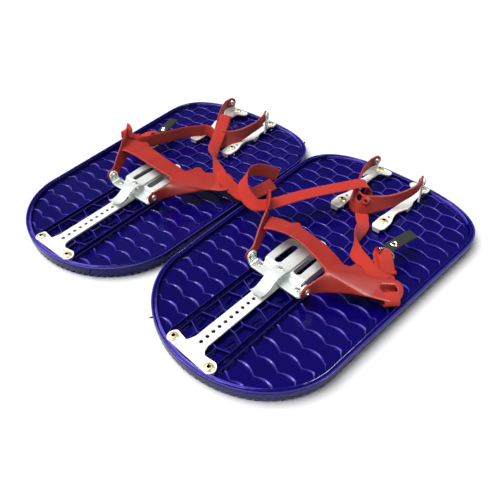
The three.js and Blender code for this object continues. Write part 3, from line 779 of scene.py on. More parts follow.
SCREW_PROFILE = [
    (2.2, -9), (2.2, 0), (SCREW_HEAD_R - 0.2, 0), (SCREW_HEAD_R, 0.3), (SCREW_HEAD_R, 0.9),
    (SCREW_HEAD_R - 0.4, 1.3), (4.9, 1.5), (4.4, 2.3), (3.4, 2.7), (2.6, 2.75), (2.2, 2.5), (2.1, -1.2),
    (0.4, -1.6),
]
screw_mesh = lathe(SCREW_PROFILE, (0, 0), 28)
# Painted shade: points down in the socket get the near-black colour.
painted_socket_shade = [1.0 if v.co.xy.length < 2.3 and v.co.z < 2.6 else 0.0 for v in screw_mesh.vertices]
screw_mesh.attributes.new("socket", "FLOAT", "POINT").data.foreach_set("value", painted_socket_shade)
screw_pattern = put("screw_pattern", screw_mesh)


def screw_set(name, places, seat, nodes):
    """One screw on each place, made with the screws tree, on both shoes."""
    marks = mesh_of(name, [(x, y, seat) for x, y in places], [])
    made = run_nodes(name, marks, screws, {"Screw": screw_pattern, "Material": yellow_zinc})
    fit(name, made, yellow_zinc, "shoe", "yellow_zinc", *nodes)


screw_set("bar_screws", BAR_SCREWS, T_HEAD_UNDER + STRIP_T, ["bar_screw_outer", "bar_screw_inner"])
BRACKET_UNDER = 17.4
bracket_top = BRACKET_UNDER + STRIP_T
screw_set("toe_screws_rear", REAR_SCREWS, bracket_top, ["toe_screw_rear_outer", "toe_screw_rear_inner"])
screw_set("toe_screws_front", FRONT_SCREWS, bracket_top, ["toe_screw_front_outer", "toe_screw_front_inner"])

# Toe brackets: pressed steel strips with a turned-down tab at the heel end, a hooked tooth at
# the outer side and an upright ear that carries the toe cage.
TOE_PIVOT_Y = 419.7
TOE_PIVOT_Z = 43.6
TOE_EAR_X = 41
PIVOT_HOLE_R = 2.7
bracket_corners = [
    (27, 316, 4), (30, 311, 3), (42, 311, 3), (46, 317, 4), (46, 336, 6), (41, 349, 8), (40, 362, 8),
    (45, 375, 5), (47, 379, 2), (47, 391, 2), (44, 399, 5), (43, 428, 3), (48, 431, 3), (48, 443, 4),
    (21, 443, 4), (17, 439, 4), (17, 434, 4), (21, 430, 3), (32, 427, 5), (34, 400, 12), (30, 366, 12),
    (29, 348, 8), (27, 336, 6),
]
bracket_flat = pressed(
    "bracket",
    rounded(bracket_corners),
    [circle(*REAR_SCREWS[1], SCREW_HOLE_R), circle(*FRONT_SCREWS[1], SCREW_HOLE_R), circle(36.5, 344, 2.2)],
    STRIP_T,
    0.35,
)
bracket_flat.transform(Matrix.Translation((0, 0, BRACKET_UNDER)))
ear_outline = (
    [(403, 18), (428, 18), (427.8, 36)] + arc(TOE_PIVOT_Y, TOE_PIVOT_Z, 8, 0, 180, 14) + [(409, 30)]
)
upright = Matrix(((0, 0, 1, 0), (1, 0, 0, 0), (0, 1, 0, 0), (0, 0, 0, 1)))
ear = pressed("ear", ear_outline, [circle(TOE_PIVOT_Y, TOE_PIVOT_Z, PIVOT_HOLE_R)], STRIP_T, 0.35)
EAR_TURN = math.radians(24)


def turned_in(s):
    """The ear's turn inwards about the upright line through its pivot, with rivet and eye."""
    line = Matrix.Translation((s * TOE_EAR_X, TOE_PIVOT_Y, 0))
    return line @ Matrix.Rotation(s * EAR_TURN, 4, "Z") @ line.inverted()


ear.transform(turned_in(1) @ Matrix.Translation((TOE_EAR_X, 0, 0)) @ upright)
hook_outline = rounded([(377, 19, 1), (379, 12.5, 1), (386, 12.3, 1), (391.5, 19.6, 1), (384, 19.8, 1)])
hook = pressed("hook", hook_outline, [], STRIP_T, 0.35)
hook.transform(Matrix.Translation((44.5, 0, 0)) @ upright)
tab_outline = rounded([(31, 12.4, 1.5), (41.5, 12.4, 1.5), (42, 19.2, 0.6), (30, 19.2, 0.6)])
standing = Matrix(((1, 0, 0, 0), (0, 0, -1, 0), (0, 1, 0, 0), (0, 0, 0, 1)))
near_tab = pressed("near_tab", tab_outline, [], STRIP_T, 0.35)
near_tab.transform(Matrix.Translation((0, 313.8, 0)) @ standing)
one_bracket = joined("bracket", [bracket_flat, ear, hook, near_tab])
for word, s in (("outer", 1), ("inner", -1)):
    bracket = one_bracket.copy()
    if s < 0:
        bracket.transform(Matrix.Scale(-1, 4, (1, 0, 0)))
        bracket.flip_normals()
    fit(f"toe_bracket_{word}_strip", bracket, pale_steel, "shoe", "bright_steel", f"toe_bracket_{word}")

# The heel plate slides on the bar. A cross strip with an upright ear at each end steps up to a
# slotted plate with turned-down sides. It is bright zinc, bluish beside the bar's warmer white.
PIVOT_Y = 142.7
PIVOT_Z = 33.3
EAR_X = 41.5
CROSS_UNDER = 20
PLATE_UNDER = 26.5
CROSS_NEAR_Y = 136
PLATE_FAR_Y = 207
PIN_Y = FIRST_HOLE_Y + 14 * HOLE_PITCH
BEND_R = 5.0
plate_corners = [
    (-30, 151, 1), (30, 151, 1), (32, 160, 3), (33, 190, 6), (31, PLATE_FAR_Y, 6), (-31, PLATE_FAR_Y, 6),
    (-33, 190, 6), (-32, 160, 3),
]


def slot_loop(x, y0, y1, half):
    """A slot with round ends, from y0 to y1."""
    return arc(x, y1 - half, half, 0, 180, 12) + arc(x, y0 + half, half, 180, 360, 12)


PLATE_SLOT_X = 16
PLATE_SLOT_HALF = 5.2
plate_slots = [slot_loop(s * PLATE_SLOT_X, 159.5, 200, PLATE_SLOT_HALF) for s in (-1, 1)]
top_plate = bent(
    pressed("plate", rounded(plate_corners), plate_slots, STRIP_T, 0.4),
    1,
    [152.5, 154, 155.5, 157, 158],
    lambda p: Vector((p.x, p.y, p.z + 20.3 + (PLATE_UNDER - 20.3) * ramp(p.y, 151, 158.5))),
)


def folded_up(p):
    """Turns both ends of a flat cross strip up round a bend at the ears."""
    side_sign = 1 if p.x > 0 else -1
    start_x = EAR_X - BEND_R
    past = abs(p.x) - start_x
    if past <= 0:
        return Vector((p.x, p.y, p.z + CROSS_UNDER))
    middle = BEND_R + STRIP_T / 2
    angle = min(past / middle, math.pi / 2)
    rise = max(past - middle * math.pi / 2, 0)
    radius = BEND_R + STRIP_T - p.z
    x = start_x + radius * math.sin(angle)
    z = CROSS_UNDER + BEND_R + STRIP_T - radius * math.cos(angle) + rise
    return Vector((side_sign * x, p.y, z))


strip_reach = EAR_X - BEND_R + (BEND_R + STRIP_T / 2) * math.pi / 2
pivot_past = PIVOT_Z - CROSS_UNDER - BEND_R - STRIP_T
ear_end = strip_reach + pivot_past
cross_outline = (
    [(-37, CROSS_NEAR_Y), (37, CROSS_NEAR_Y), (42, 136.6)]
    + arc(ear_end, PIVOT_Y, 7.6, -80, 80, 12)
    + [(44, 150), (38, 153)]
    + [(-38, 153), (-44, 150)]
    + arc(-ear_end, PIVOT_Y, 7.6, 100, 260, 12)
    + [(-42, 136.6)]
)
cross_holes = [circle(s * ear_end, PIVOT_Y, 2.4) for s in (-1, 1)]
cross_holes.append(circle(0, PIN_Y, HOLE_R))
bend_cuts = [s * (EAR_X - BEND_R + i * 1.2) for s in (-1, 1) for i in range(9)]
cross_strip = bent(pressed("cross", cross_outline, cross_holes, STRIP_T, 0.4), 0, bend_cuts, folded_up)
flange_corners = [(157, 15), (202, 15), (203, 27.5), (156, 27.5)]
flange = pressed("flange", rounded([(y, z, 2) for y, z in flange_corners]), [], 2, 0.3)
flanges = []
for s in (-1, 1):
    one = flange.copy()
    one.transform(Matrix.Translation((30 if s > 0 else -32, 0, 0)) @ upright)
    flanges.append(one)
plate_mesh = joined("heel_plate", [top_plate, cross_strip, *flanges])

# Bright zinc: electroplated, smooth and slightly blue, with fine scratches from the boot.
bright_zinc, tree, shader = new_material("bright_zinc_plate", "#DDE4E2", {"Metallic": 0.2, "Roughness": 0.28})
place = add(tree, "ShaderNodeTexCoord")
scratches = add(
    tree,
    "ShaderNodeMapping",
    {"Scale": (1.0, 0.1, 1.0), "Rotation": (0.0, 0.0, 0.3)},
    {"Vector": place.outputs["Object"]},
)
fine = add(tree, "ShaderNodeTexNoise", {"Scale": 900.0, "Detail": 3.0}, {"Vector": scratches.outputs[0]})
blotch = add(tree, "ShaderNodeTexNoise", {"Scale": 70.0, "Detail": 3.0}, {"Vector": place.outputs["Object"]})
tint = add(
    tree,
    "ShaderNodeMix",
    {"data_type": "RGBA", 6: colour("#D4DEDA"), 7: colour("#FAFEFC")},
    {0: blotch.outputs["Fac"]},
)
gloss = add(tree, "ShaderNodeMapRange", {"To Min": 0.2, "To Max": 0.42}, {"Value": fine.outputs["Fac"]})
tree.links.new(tint.outputs[2], shader.inputs["Base Color"])
tree.links.new(gloss.outputs["Result"], shader.inputs["Roughness"])

fit("heel_plate_pressing", plate_mesh, bright_zinc, "carriage", "zinc_steel", "heel_plate")

# The guide under the plate: a folded channel round the bar, riveted up to the cross strip. Its
# own solid already has its true shape, so it only takes the zinc finish.
for side in shoe_frames:
    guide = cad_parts[f"{side}_bar_guide"]
    guide.data.materials.clear()
    guide.data.materials.append(bright_zinc)

# Plate rivets: domed heads on the cross strip, dull beside the plate.
rivet_steel, tree, shader = new_material("dull_rivet_steel", "#B4B0A4", {"Metallic": 0.9, "Roughness": 0.35})
place = add(tree, "ShaderNodeTexCoord")
speck = add(tree, "ShaderNodeTexNoise", {"Scale": 500.0, "Detail": 3.0}, {"Vector": place.outputs["Object"]})
tint = add(
    tree,
    "ShaderNodeMix",
    {"data_type": "RGBA", 6: colour("#7C786C"), 7: colour("#D6D2C4")},
    {0: speck.outputs["Fac"]},
)
tree.links.new(tint.outputs[2], shader.inputs["Base Color"])
PLATE_RIVET = [
    (1.4, 15.5), (3.2, 15.8), (3.2, 17.2), (1.4, 17.3), (1.4, 22.5), (3.7, 22.6), (3.6, 23.2),
    (2.6, 23.9), (1.3, 24.0), (1.1, 23.2), (0.2, 23.0),
]
for word, s in (("outer", 1), ("inner", -1)):
    rivet = lathe(PLATE_RIVET, (s * 31, 145.5))
    fit(f"plate_rivet_{word}_head", rivet, rivet_steel, "carriage", "yellow_zinc", f"plate_rivet_{word}")

# Pivot rivets: headed pins through the ears, with a dimple in each head. Two carry the heel
# cup and two carry the toe cage.
CUP_T = 3.0


def pivot_rivet(s, y, z, inner, outer):
    """A rivet along x with a head past each face of the stack."""
    profile = [
        (0.3, inner - 1.2), (1.4, inner - 1.5), (2.2, inner - 1.9), (4.2, inner - 1.5), (5, inner - 0.7),
        (5, inner), (2.4, inner), (2.4, outer), (5, outer), (5, outer + 0.7), (4.2, outer + 1.5),
        (2.4, outer + 1.9), (1.9, outer + 1.2), (0.3, outer + 0.9),
    ]
    body = lathe(profile, (0, 0), 28)
    body.transform(Matrix(((0, 0, s, 0), (1, 0, 0, y), (0, s, 0, z), (0, 0, 0, 1))))
    return body


for word, s in (("outer", 1), ("inner", -1)):
    heel_rivet = pivot_rivet(s, PIVOT_Y, PIVOT_Z, EAR_X - 0.3, EAR_X + STRIP_T + CUP_T + 0.6)
    pivot = f"heel_pivot_{word}"
    fit(f"{pivot}_rivet", heel_rivet, rivet_steel, "carriage", "rivet_steel", pivot)
    toe_rivet = pivot_rivet(s, TOE_PIVOT_Y, TOE_PIVOT_Z, TOE_EAR_X - 0.9 - CUP_T, TOE_EAR_X + STRIP_T + 0.3)
    toe_rivet.transform(turned_in(s))
    fit(f"toe_pivot_{word}_rivet", toe_rivet, rivet_steel, "shoe", "rivet_steel", f"toe_pivot_{word}")

# The latch: a leaf of spring steel from the plate's front over the cross strip to a thumb lip,
# with the locking pin riveted through it.
LATCH_HALF = 9
LATCH_T = 1.2
latch_line = [
    (197, 30.3), (186, 30.3), (170, 30.5), (157, 30.8), (153, 31.4), (150, 33.0), (147, 33.5),
    (137, 33.4), (132, 32.2), (127, 29.0), (121, 25.4), (115, 23.6), (109, 23.6), (104, 25.8),
]


def spline_point(keys, t):
    """A point on a smooth curve through keys, which are lists of numbers, at t from 0 to 1."""
    place = t * (len(keys) - 1)
    i = min(int(place), len(keys) - 2)
    f = place - i
    p0, p1, p2, p3 = [keys[min(max(i + k, 0), len(keys) - 1)] for k in (-1, 0, 1, 2)]
    found = []
    for a, b, c, d in zip(p0, p1, p2, p3):
        found.append(
            0.5 * (2 * b + (c - a) * f + (2 * a - 5 * b + 4 * c - d) * f * f + (3 * b - a - 3 * c + d) * f**3)
        )
    return found


def facing_out(mesh):
    """The closed mesh with its faces turned outwards."""
    work = bmesh.new()
    work.from_mesh(mesh)
    bmesh.ops.recalc_face_normals(work, faces=work.faces)
    work.to_mesh(mesh)
    work.free()
    return mesh


def strip_mesh(name, keys, thickness, steps, edge_steps=4, width_steps=1, span=(0, 1)):
    """A band through keys: centre, direction of its width, and how far it reaches to each
    side. Its edges are round. The UV map has millimetres across and along it. A span of the
    curve from one t to another is made."""
    sections = []
    travelled = 0
    distance = []
    previous = None
    for i in range(steps + 1):
        t = span[0] + (span[1] - span[0]) * i / steps
        value = spline_point(keys, t)
        before = Vector(spline_point(keys, max(t - 0.002, 0))[:3])
        after = Vector(spline_point(keys, min(t + 0.002, 1))[:3])
        centre = Vector(value[:3])
        along = (after - before).normalized()
        wide = Vector(value[3:6])
        wide = (wide - along * wide.dot(along)).normalized()
        face = along.cross(wide)
        if previous is not None:
            travelled += (centre - previous).length
        previous = centre
        distance.append(travelled)
        sections.append((centre, wide, face, value[6], value[7]))
    half_t = thickness / 2
    shape = []
    for k in range(width_steps + 1):
        shape.append((1 - 2 * k / width_steps, 0, 1))
    for k in range(1, edge_steps):
        a = math.pi * k / edge_steps
        shape.append((-1, -math.sin(a), math.cos(a)))
    for k in range(width_steps + 1):
        shape.append((-1 + 2 * k / width_steps, 0, -1))
    for k in range(1, edge_steps):
        a = math.pi * k / edge_steps
        shape.append((1, math.sin(a), -math.cos(a)))
    ring = len(shape)
    points = []
    for centre, wide, face, up, down in sections:
        for share_w, out, share_t in shape:
            reach = (up - half_t) if share_w > 0 else (down - half_t)
            across_w = share_w * reach + out * half_t
            points.append(centre + wide * across_w + face * share_t * half_t)
    faces = [list(reversed(range(ring))), [steps * ring + i for i in range(ring)]]
    for i in range(steps):
        for k in range(ring):
            a = i * ring + k
            b = i * ring + (k + 1) % ring
            faces.append([a, b, b + ring, a + ring])
    mesh = mesh_of(name, points, faces)
    layer = mesh.uv_layers.new(name="weave")
    for polygon in mesh.polygons:
        for corner in polygon.loop_indices:
            vertex = mesh.loops[corner].vertex_index
            k = vertex % ring
            _, _, _, up, down = sections[vertex // ring]
            reach = up if shape[k][0] > 0 else down
            layer.data[corner].uv = (shape[k][0] * reach, distance[vertex // ring])
    return facing_out(mesh)


latch_keys = [(0, y, z + LATCH_T / 2, 1, 0, 0, LATCH_HALF, LATCH_HALF) for y, z in latch_line]
latch_mesh = strip_mesh("latch", latch_keys, LATCH_T, 70)
fit("heel_latch_leaf", latch_mesh, bright_zinc, "latch", "zinc_steel", "heel_latch")

PIN_PROFILE = [
    (0.9, 19.7), (1.7, 20.3), (1.7, 34.6), (3.4, 34.7), (3.4, 35.6), (2.4, 36.3), (1.0, 36.4),
    (0.2, 36.0),
]
pin_mesh = lathe(PIN_PROFILE, (0, PIN_Y))
fit("latch_pin_rivet", pin_mesh, rivet_steel, "latch", "zinc_steel", "latch_pin")

# Red mouldings: flexible polyurethane with a fine spark-eroded grain, duller where it is
# rubbed. The voxel remesh turns the overlapping bands into one moulding with soft corners.
red_moulding, tree, shader = new_material(
    "moulded_red_polyurethane",
    "#B4352B",
    {"Roughness": 0.42, "IOR": 1.5, "Specular IOR Level": 0.3},
)
place = add(tree, "ShaderNodeTexCoord")
shade = add(tree, "ShaderNodeTexNoise", {"Scale": 35.0, "Detail": 3.0}, {"Vector": place.outputs["Object"]})
tint = add(
    tree,
    "ShaderNodeMix",
    {"data_type": "RGBA", 6: colour("#A01C14"), 7: colour("#C2362A")},
    {0: shade.outputs["Fac"]},
)
grain = add(tree, "ShaderNodeTexNoise", {"Scale": 1400.0, "Detail": 2.0}, {"Vector": place.outputs["Object"]})
bump = add(tree, "ShaderNodeBump", {"Strength": 0.25, "Distance": 0.0002}, {"Height": grain.outputs["Fac"]})
tree.links.new(tint.outputs[2], shader.inputs["Base Color"])
tree.links.new(bump.outputs["Normal"], shader.inputs["Normal"])

VOXEL = 0.85


def moulded(name, bands, cutters, smoothing):
    """Bands joined into one moulding, with holes cut through it."""
    whole = put(name, joined(name, bands))
    tools = []
    fuse = whole.modifiers.new("fuse", "REMESH")
    fuse.mode = "VOXEL"
    fuse.voxel_size = VOXEL
    for cutter in cutters:
        tool = put("cutter", cutter)
        hole = whole.modifiers.new("hole", "BOOLEAN")
        hole.operation = "DIFFERENCE"
        hole.object = tool
        hole.solver = "EXACT"
        tools.append(tool)
    again = whole.modifiers.new("again", "REMESH")
    again.mode = "VOXEL"
    again.voxel_size = VOXEL
    soften = whole.modifiers.new("soften", "SMOOTH")
    soften.factor = 0.5
    soften.iterations = smoothing
    mesh = plain_mesh(whole)
    for tool in tools:
        bpy.data.objects.remove(tool)
    return mesh


# The heel cup: one soft sheet. A band passes behind the heel, and at each end it widens into a
# fan that narrows to an eye on the heel plate's ear and runs out to a slotted wing. The pair
# lies folded forwards over the plates, with each cup's left wing turned up on edge.
EYE_X = EAR_X + STRIP_T + 0.3 + CUP_T / 2
# Rows across the sheet: a point on its outer edge, then the point opposite on its inner edge.
right_rows = [
    (46, 136, 26, 46, 139, 41), (46.5, 144, 24.2, 46, 146, 42.5), (50, 152, 25, 47, 153, 43.5),
    (56.5, 158.6, 26, 48.5, 160, 45), (63, 164, 27, 49.8, 165, 46.2), (70, 169, 28, 50.3, 168, 47),
    (83, 178.6, 29, 50, 171, 48), (95, 186, 29, 49.5, 172, 48.2), (102, 191, 28.3, 49, 172.4, 48.4),
    (104, 198, 28.2, 48.3, 173, 48.6), (103, 207, 28.7, 47.6, 173.7, 48.9),
    (100, 215, 29.7, 47.2, 174, 49), (94.5, 221, 31.1, 46.8, 174.2, 49.1),
    (86, 216, 33.5, 46.5, 174.3, 49.2), (79, 215.5, 35.5, 46.2, 174.4, 49.2),
    (74, 218, 37, 46, 174.5, 49.3), (70, 219, 38, 45.8, 174.6, 49.3), (66, 216.5, 39, 45.5, 174.7, 49.4),
    (63.5, 210.5, 39, 45.2, 174.8, 49.4), (62, 204.5, 39.2, 45, 174.9, 49.5),
    (58.5, 202.4, 40, 44.5, 175, 49.6), (52.4, 204.3, 41, 43, 175.4, 50),
    (38, 208.7, 43, 35, 177.4, 51.6), (22, 211.9, 45, 22, 180, 54.2), (7.7, 212.8, 46.5, 7.7, 182.4, 56),
    (-9, 213.1, 48, -8, 183.2, 57.5), (-19, 214.2, 48.4, -18, 182.3, 58.3),
    (-25, 217.2, 48.8, -24, 181, 58.4), (-30, 216.8, 49, -29, 179.4, 58.5),
    (-34.5, 210.8, 49, -33, 178, 58.5), (-49, 208, 49, -41, 175, 58.2), (-64.5, 202.4, 49, -49, 170, 57),
]
left_rows = [
    (-46, 136, 26, -46, 139, 41), (-46.5, 145, 24.4, -46, 146, 42.5), (-51, 154, 26, -47.5, 153, 43.5),
    (-57.3, 161.8, 27.5, -49.5, 159, 44.4), (-63, 168.5, 28.5, -50.8, 164, 45),
    (-68.4, 174.8, 29.5, -51, 168, 45.5), (-79.5, 187.7, 31, -50, 172, 45.8),
    (-90.4, 200.9, 32, -49, 174, 46), (-97, 206.5, 32.7, -48.5, 175, 46),
    (-99, 214, 33.7, -47.7, 176, 46), (-95, 225, 35.6, -47, 176.8, 46),
    (-88, 233, 37.4, -46.2, 177.6, 46.1), (-81, 237, 38.6, -45.8, 178, 46.2),
    (-74, 232.5, 39, -45.4, 178.4, 46.3), (-69, 230.5, 39, -45, 178.8, 46.4),
    (-64, 231.5, 39.2, -44.7, 179.1, 46.5), (-59, 233.8, 39.6, -44.3, 179.4, 46.6),
    (-53.5, 233, 40, -44, 179.7, 46.6), (-49.8, 227, 40, -43.6, 180, 46.7),
    (-50.3, 219, 39.6, -43.2, 180.2, 46.8), (-49.5, 213.8, 39.6, -42.5, 180.4, 46.9),
    (-44.8, 212.5, 40, -40, 180.8, 47), (-31.2, 213.9, 40.5, -30, 181.1, 47.4),
    (-10.2, 216.1, 41, -10, 181.6, 48.4), (10.8, 218, 42, 10.8, 182.8, 49.3),
    (33.9, 221.3, 43, 30, 184, 50), (46, 224, 43, 40, 184.2, 50), (54, 228, 43, 46, 184.1, 50),
    (61, 228.5, 43, 51, 184, 50), (67, 224.5, 43, 56, 183.6, 50), (80.5, 220, 43, 62, 182.5, 50),
    (90, 216.5, 43.5, 67, 181, 50),
]
# Rows across each flat wing, from the fan out to its end.
right_wing = [
    (88, 181.5, 29.2, 80, 214, 35.3), (97, 187, 28.8, 87, 215.5, 33.4),
    (106, 192.3, 27.8, 94.5, 221.8, 31.1), (115, 198, 26, 101, 229, 29),
    (122, 202.7, 24.5, 106.5, 235.2, 27.7), (127.5, 208, 23.3, 112, 239.5, 26.2),
    (130, 214, 22.8, 117, 240, 25.2), (130.3, 221, 22.8, 122, 237.5, 24.3),
    (129, 227, 23.2, 126, 233, 23.7),
]
left_wing = [
    (-84, 193, 31.3, -72, 230, 39), (-93, 203, 32.2, -80, 239, 39), (-103, 209.8, 33, -88, 247.3, 39),
    (-111, 214, 33, -97, 250.8, 38.2), (-117, 220, 33.2, -105, 250.2, 37.2),
    (-120, 227, 33.6, -111, 247.3, 36.2), (-120.3, 234, 34.3, -115.5, 243.5, 35.4),
]
SHEET_STEPS = 300
SHEET_COLUMNS = 14


def cup_sheet(rows):
    """The sheet stretched between the two edges, as thick as the moulding."""
    grid = []
    for i in range(SHEET_STEPS + 1):
        value = spline_point(rows, i / SHEET_STEPS)
        edge, far = Vector(value[:3]), Vector(value[3:])
        line = []
        for k in range(SHEET_COLUMNS + 1):
            line.append(edge.lerp(far, k / SHEET_COLUMNS))
        grid.append(line)
    top = []
    under = []
    for i, line in enumerate(grid):
        ahead = grid[min(i + 3, SHEET_STEPS)]
        back = grid[max(i - 3, 0)]
        for k, point in enumerate(line):
            along = (ahead[k] - back[k]) + (ahead[0] - back[0]) * 0.15
            face = along.cross(line[-1] - line[0]).normalized() * (CUP_T / 2)
            top.append(point + face)
            under.append(point - face)
    wide = SHEET_COLUMNS + 1
    count = len(top)
    border = [i * wide for i in range(SHEET_STEPS)] + [SHEET_STEPS * wide + k for k in range(wide - 1)]
    border += [i * wide + wide - 1 for i in range(SHEET_STEPS, 0, -1)] + list(range(wide - 1, 0, -1))
    faces = []
    for i in range(SHEET_STEPS):
        for k in range(SHEET_COLUMNS):
            a = i * wide + k
            faces.append([a, a + 1, a + wide + 1, a + wide])
            faces.append([count + a + wide, count + a + wide + 1, count + a + 1, count + a])
    for a, b in zip(border, border[1:] + border[:1]):
        faces.append([a, b, b + count, a + count])
    return facing_out(mesh_of("sheet", top + under, faces))


def eye_disc(s, x, y, z, radius):
    """A disc of the moulding round its pivot, on the side s of the shoe."""
    x0, x1 = sorted((s * (x - CUP_T / 2), s * (x + CUP_T / 2)))
    rim = radius - 0.4
    disc = lathe([(rim, x0), (radius, x0 + 0.5), (radius, x1 - 0.5), (rim, x1)], (0, 0), 32)
    disc.transform(Matrix(((0, 0, 1, 0), (1, 0, 0, y), (0, 1, 0, z), (0, 0, 0, 1))))
    return disc


# The other leg and wing of each cup, seen on edge: the leg rises from the eye to the band's
# end, and the wing stands up beyond it.
edge_legs = {
    "right": [
        (-EYE_X, PIVOT_Y, PIVOT_Z, 0, 0, 1, 9, 9), (-EYE_X - 1, 153, 36, -0.1, -0.1, 1, 9, 9),
        (-52, 166, 42, -0.3, 0, 1, 9, 9.5), (-59, 182, 47, -0.3, 0.1, 1, 11, 12),
        (-67, 198, 52, -0.1, 0.1, 1, 13, 13), (-78, 212, 55, 0.2, 0.1, 1, 12, 12),
        (-88, 224, 56, 0.2, 0.1, 1, 11, 11), (-95, 232, 57, 0.2, 0.1, 1, 8, 8),
    ],
    "left": [
        (EYE_X, PIVOT_Y, PIVOT_Z, 0, 0, 1, 9, 9), (EYE_X + 2, 152, 35, 0.1, -0.1, 1, 9, 9),
        (54, 163, 39, 0.3, 0, 1, 9, 9.5), (63, 180, 44, 0.3, 0.1, 1, 11, 12),
        (73, 196, 47, 0.3, 0.1, 1, 13, 13), (84, 208, 48, 0.3, 0.2, 1, 12, 12),
        (95, 220, 48, 0.3, 0.2, 1, 11, 11), (104, 230, 48, 0.3, 0.2, 1, 8, 8),
    ],
}
# Each flat wing has a D slot. Its centre and the direction of the wing's end.
wing_slots = {"right": (113.5, 219.5, -0.72), "left": (-106, 234, 2.5)}
# A round notch parts the band's front edge from the lobe at the wing's root.
wing_notches = {
    "right": [
        (46, 207, 2), (54, 204.6, 2), (60.5, 202.6, 4), (63.6, 207, 3), (64.2, 214, 3), (63, 228, 1),
        (40, 228, 1),
    ],
    "left": [
        (-30, 215, 2), (-41, 214, 2), (-47.5, 213.2, 4), (-50.5, 218, 3), (-50.3, 224, 3), (-48, 238, 1),
        (-28, 238, 1),
    ],
}
cup_meshes = {}
for side, sheets in (("right", (right_rows, right_wing)), ("left", (left_rows, left_wing))):
    bands = [cup_sheet(rows) for rows in sheets]
    bands.append(strip_mesh("edge_leg", edge_legs[side], CUP_T, 70, 4, 6))
    bands += [eye_disc(s, EYE_X, PIVOT_Y, PIVOT_Z, 9.6) for s in (-1, 1)]
    x, y, turn = wing_slots[side]
    loop = rounded([(-6.5, -10, 3), (1, -10.5, 4), (5, -7, 3), (5, 7, 3), (1, 10.5, 4), (-6.5, 10, 3)])
    cutter = pressed("slot", loop, [], 40, 0.01)
    cutter.transform(Matrix.Translation((x, y, 10)) @ Matrix.Rotation(turn, 4, "Z"))
    notch = pressed("notch", rounded(wing_notches[side]), [], 60, 0.01)
    notch.transform(Matrix.Translation((0, 0, 10)))
    cup_meshes[side] = moulded("heel_cup", bands, [cutter, notch], 20)
fit("heel_cup_moulding", cup_meshes, red_moulding, "cup", "red_moulding", "heel_cup", smooth=60)

# The toe cage: one moulded band from pivot to pivot, folded back towards the heel, with a
# large hole and a small one in its wide middle, where the webbing is laced.
CAGE_X = TOE_EAR_X - 0.3 - CUP_T / 2
cage_keys = [
    (-CAGE_X + 0.4, TOE_PIVOT_Y + 1, TOE_PIVOT_Z, 0, 0, 1, 9, 9),
    (-42.5, 408, 42, 0, 0.1, 1, 8.5, 8.5),
    (-41, 386, 37, 0.05, 0.3, 1, 8.5, 8.5),
    (-31, 357, 31.5, 0.1, 0.45, 1, 10, 12),
    (-18, 337, 30.5, 0.1, 0.5, 0.86, 12, 17),
    (-5, 332, 30.5, 0, 0.5, 0.86, 12, 18.5),
    (9, 342, 31, -0.1, 0.5, 0.86, 11.5, 15.5),
    (24, 361, 32.5, -0.1, 0.4, 1, 9.5, 11),
    (37, 386, 37, -0.05, 0.25, 1, 8.5, 8.5),
    (42.5, 407, 42, 0, 0.1, 1, 8.5, 8.5),
    (CAGE_X - 0.4, TOE_PIVOT_Y + 1, TOE_PIVOT_Z, 0, 0, 1, 9, 9),
]
cage_bands = [strip_mesh("cage_band", cage_keys, CUP_T, 120, 4, 6)]
for s in (-1, 1):
    eye = eye_disc(s, CAGE_X, TOE_PIVOT_Y, TOE_PIVOT_Z, 9)
    eye.transform(turned_in(s))
    cage_bands.append(eye)
cage_cutters = []
for x, y, z, radius in ((-11, 334.5, 35, 4.8), (1, 336.5, 33, 2.3)):
    leaning = Matrix.Translation((x, y, z)) @ Matrix.Rotation(math.radians(58), 4, "X")
    cutter = lathe([(radius, -14), (radius, 14)], (0, 0), 24)
    cutter.transform(leaning)
    cage_cutters.append(cutter)
    if radius < 3:
        lug = lathe([(4.4, -1), (5, -0.5), (5, 3.2), (4.4, 3.8)], (0, 0), 28)
        lug.transform(leaning)
        cage_bands.append(lug)
cage_mesh = moulded("toe_cage", cage_bands, cage_cutters, 5)
fit("toe_cage_moulding", cage_mesh, red_moulding, "cage", "red_moulding", "toe_cage", smooth=60)

# Webbing: 19 mm polyester tape, woven with ribs along its length and dyed bright red. It is
# matt, with a soft sheen on the raised yarns and darker gaps between them.
WEBBING_T = 1.6
WEBBING_HALF = 9.5
YARN_MM = 1.9


def webbing_finish(name, dark, light):
    """Woven tape: yarn ribs along it, crossed by a finer pick, from a UV map in millimetres."""
    matt = {"Roughness": 0.8, "Sheen Weight": 0.12, "Specular IOR Level": 0.2}
    made, tree, shader = new_material(name, light, matt)
    cloth = add(tree, "ShaderNodeUVMap", {"uv_map": "weave"})
    # The real yarns are about 0.9 mm apart. They are drawn twice as coarse so that they show.
    crossed = []
    for direction, spacing, distortion in (("X", YARN_MM, 0.3), ("Y", YARN_MM * 0.7, 0.4)):
        look = {"bands_direction": direction, "Scale": math.pi / 10 / spacing, "Distortion": distortion}
        crossed.append(add(tree, "ShaderNodeTexWave", look, {"Vector": cloth.outputs[0]}).outputs["Fac"])
    weave = add(tree, "ShaderNodeMath", {"operation": "MULTIPLY"}, dict(enumerate(crossed)))
    tint = add(
        tree,
        "ShaderNodeMix",
        {"data_type": "RGBA", 6: colour(dark), 7: colour(light)},
        {0: weave.outputs[0]},
    )
    bump = add(tree, "ShaderNodeBump", {"Strength": 0.6, "Distance": 0.0004}, {"Height": weave.outputs[0]})
    tree.links.new(tint.outputs[2], shader.inputs["Base Color"])
    tree.links.new(bump.outputs["Normal"], shader.inputs["Normal"])
    return made


red_webbing = webbing_finish("woven_red_polyester", "#B82416", "#E83A26")


def tape(keys, steps, half=WEBBING_HALF, thickness=WEBBING_T, span=(0, 1)):
    """A length of webbing through keys: centre and direction of its width."""
    return strip_mesh("tape", [(*k, half, half) for k in keys], thickness, steps, 4, 4, span)


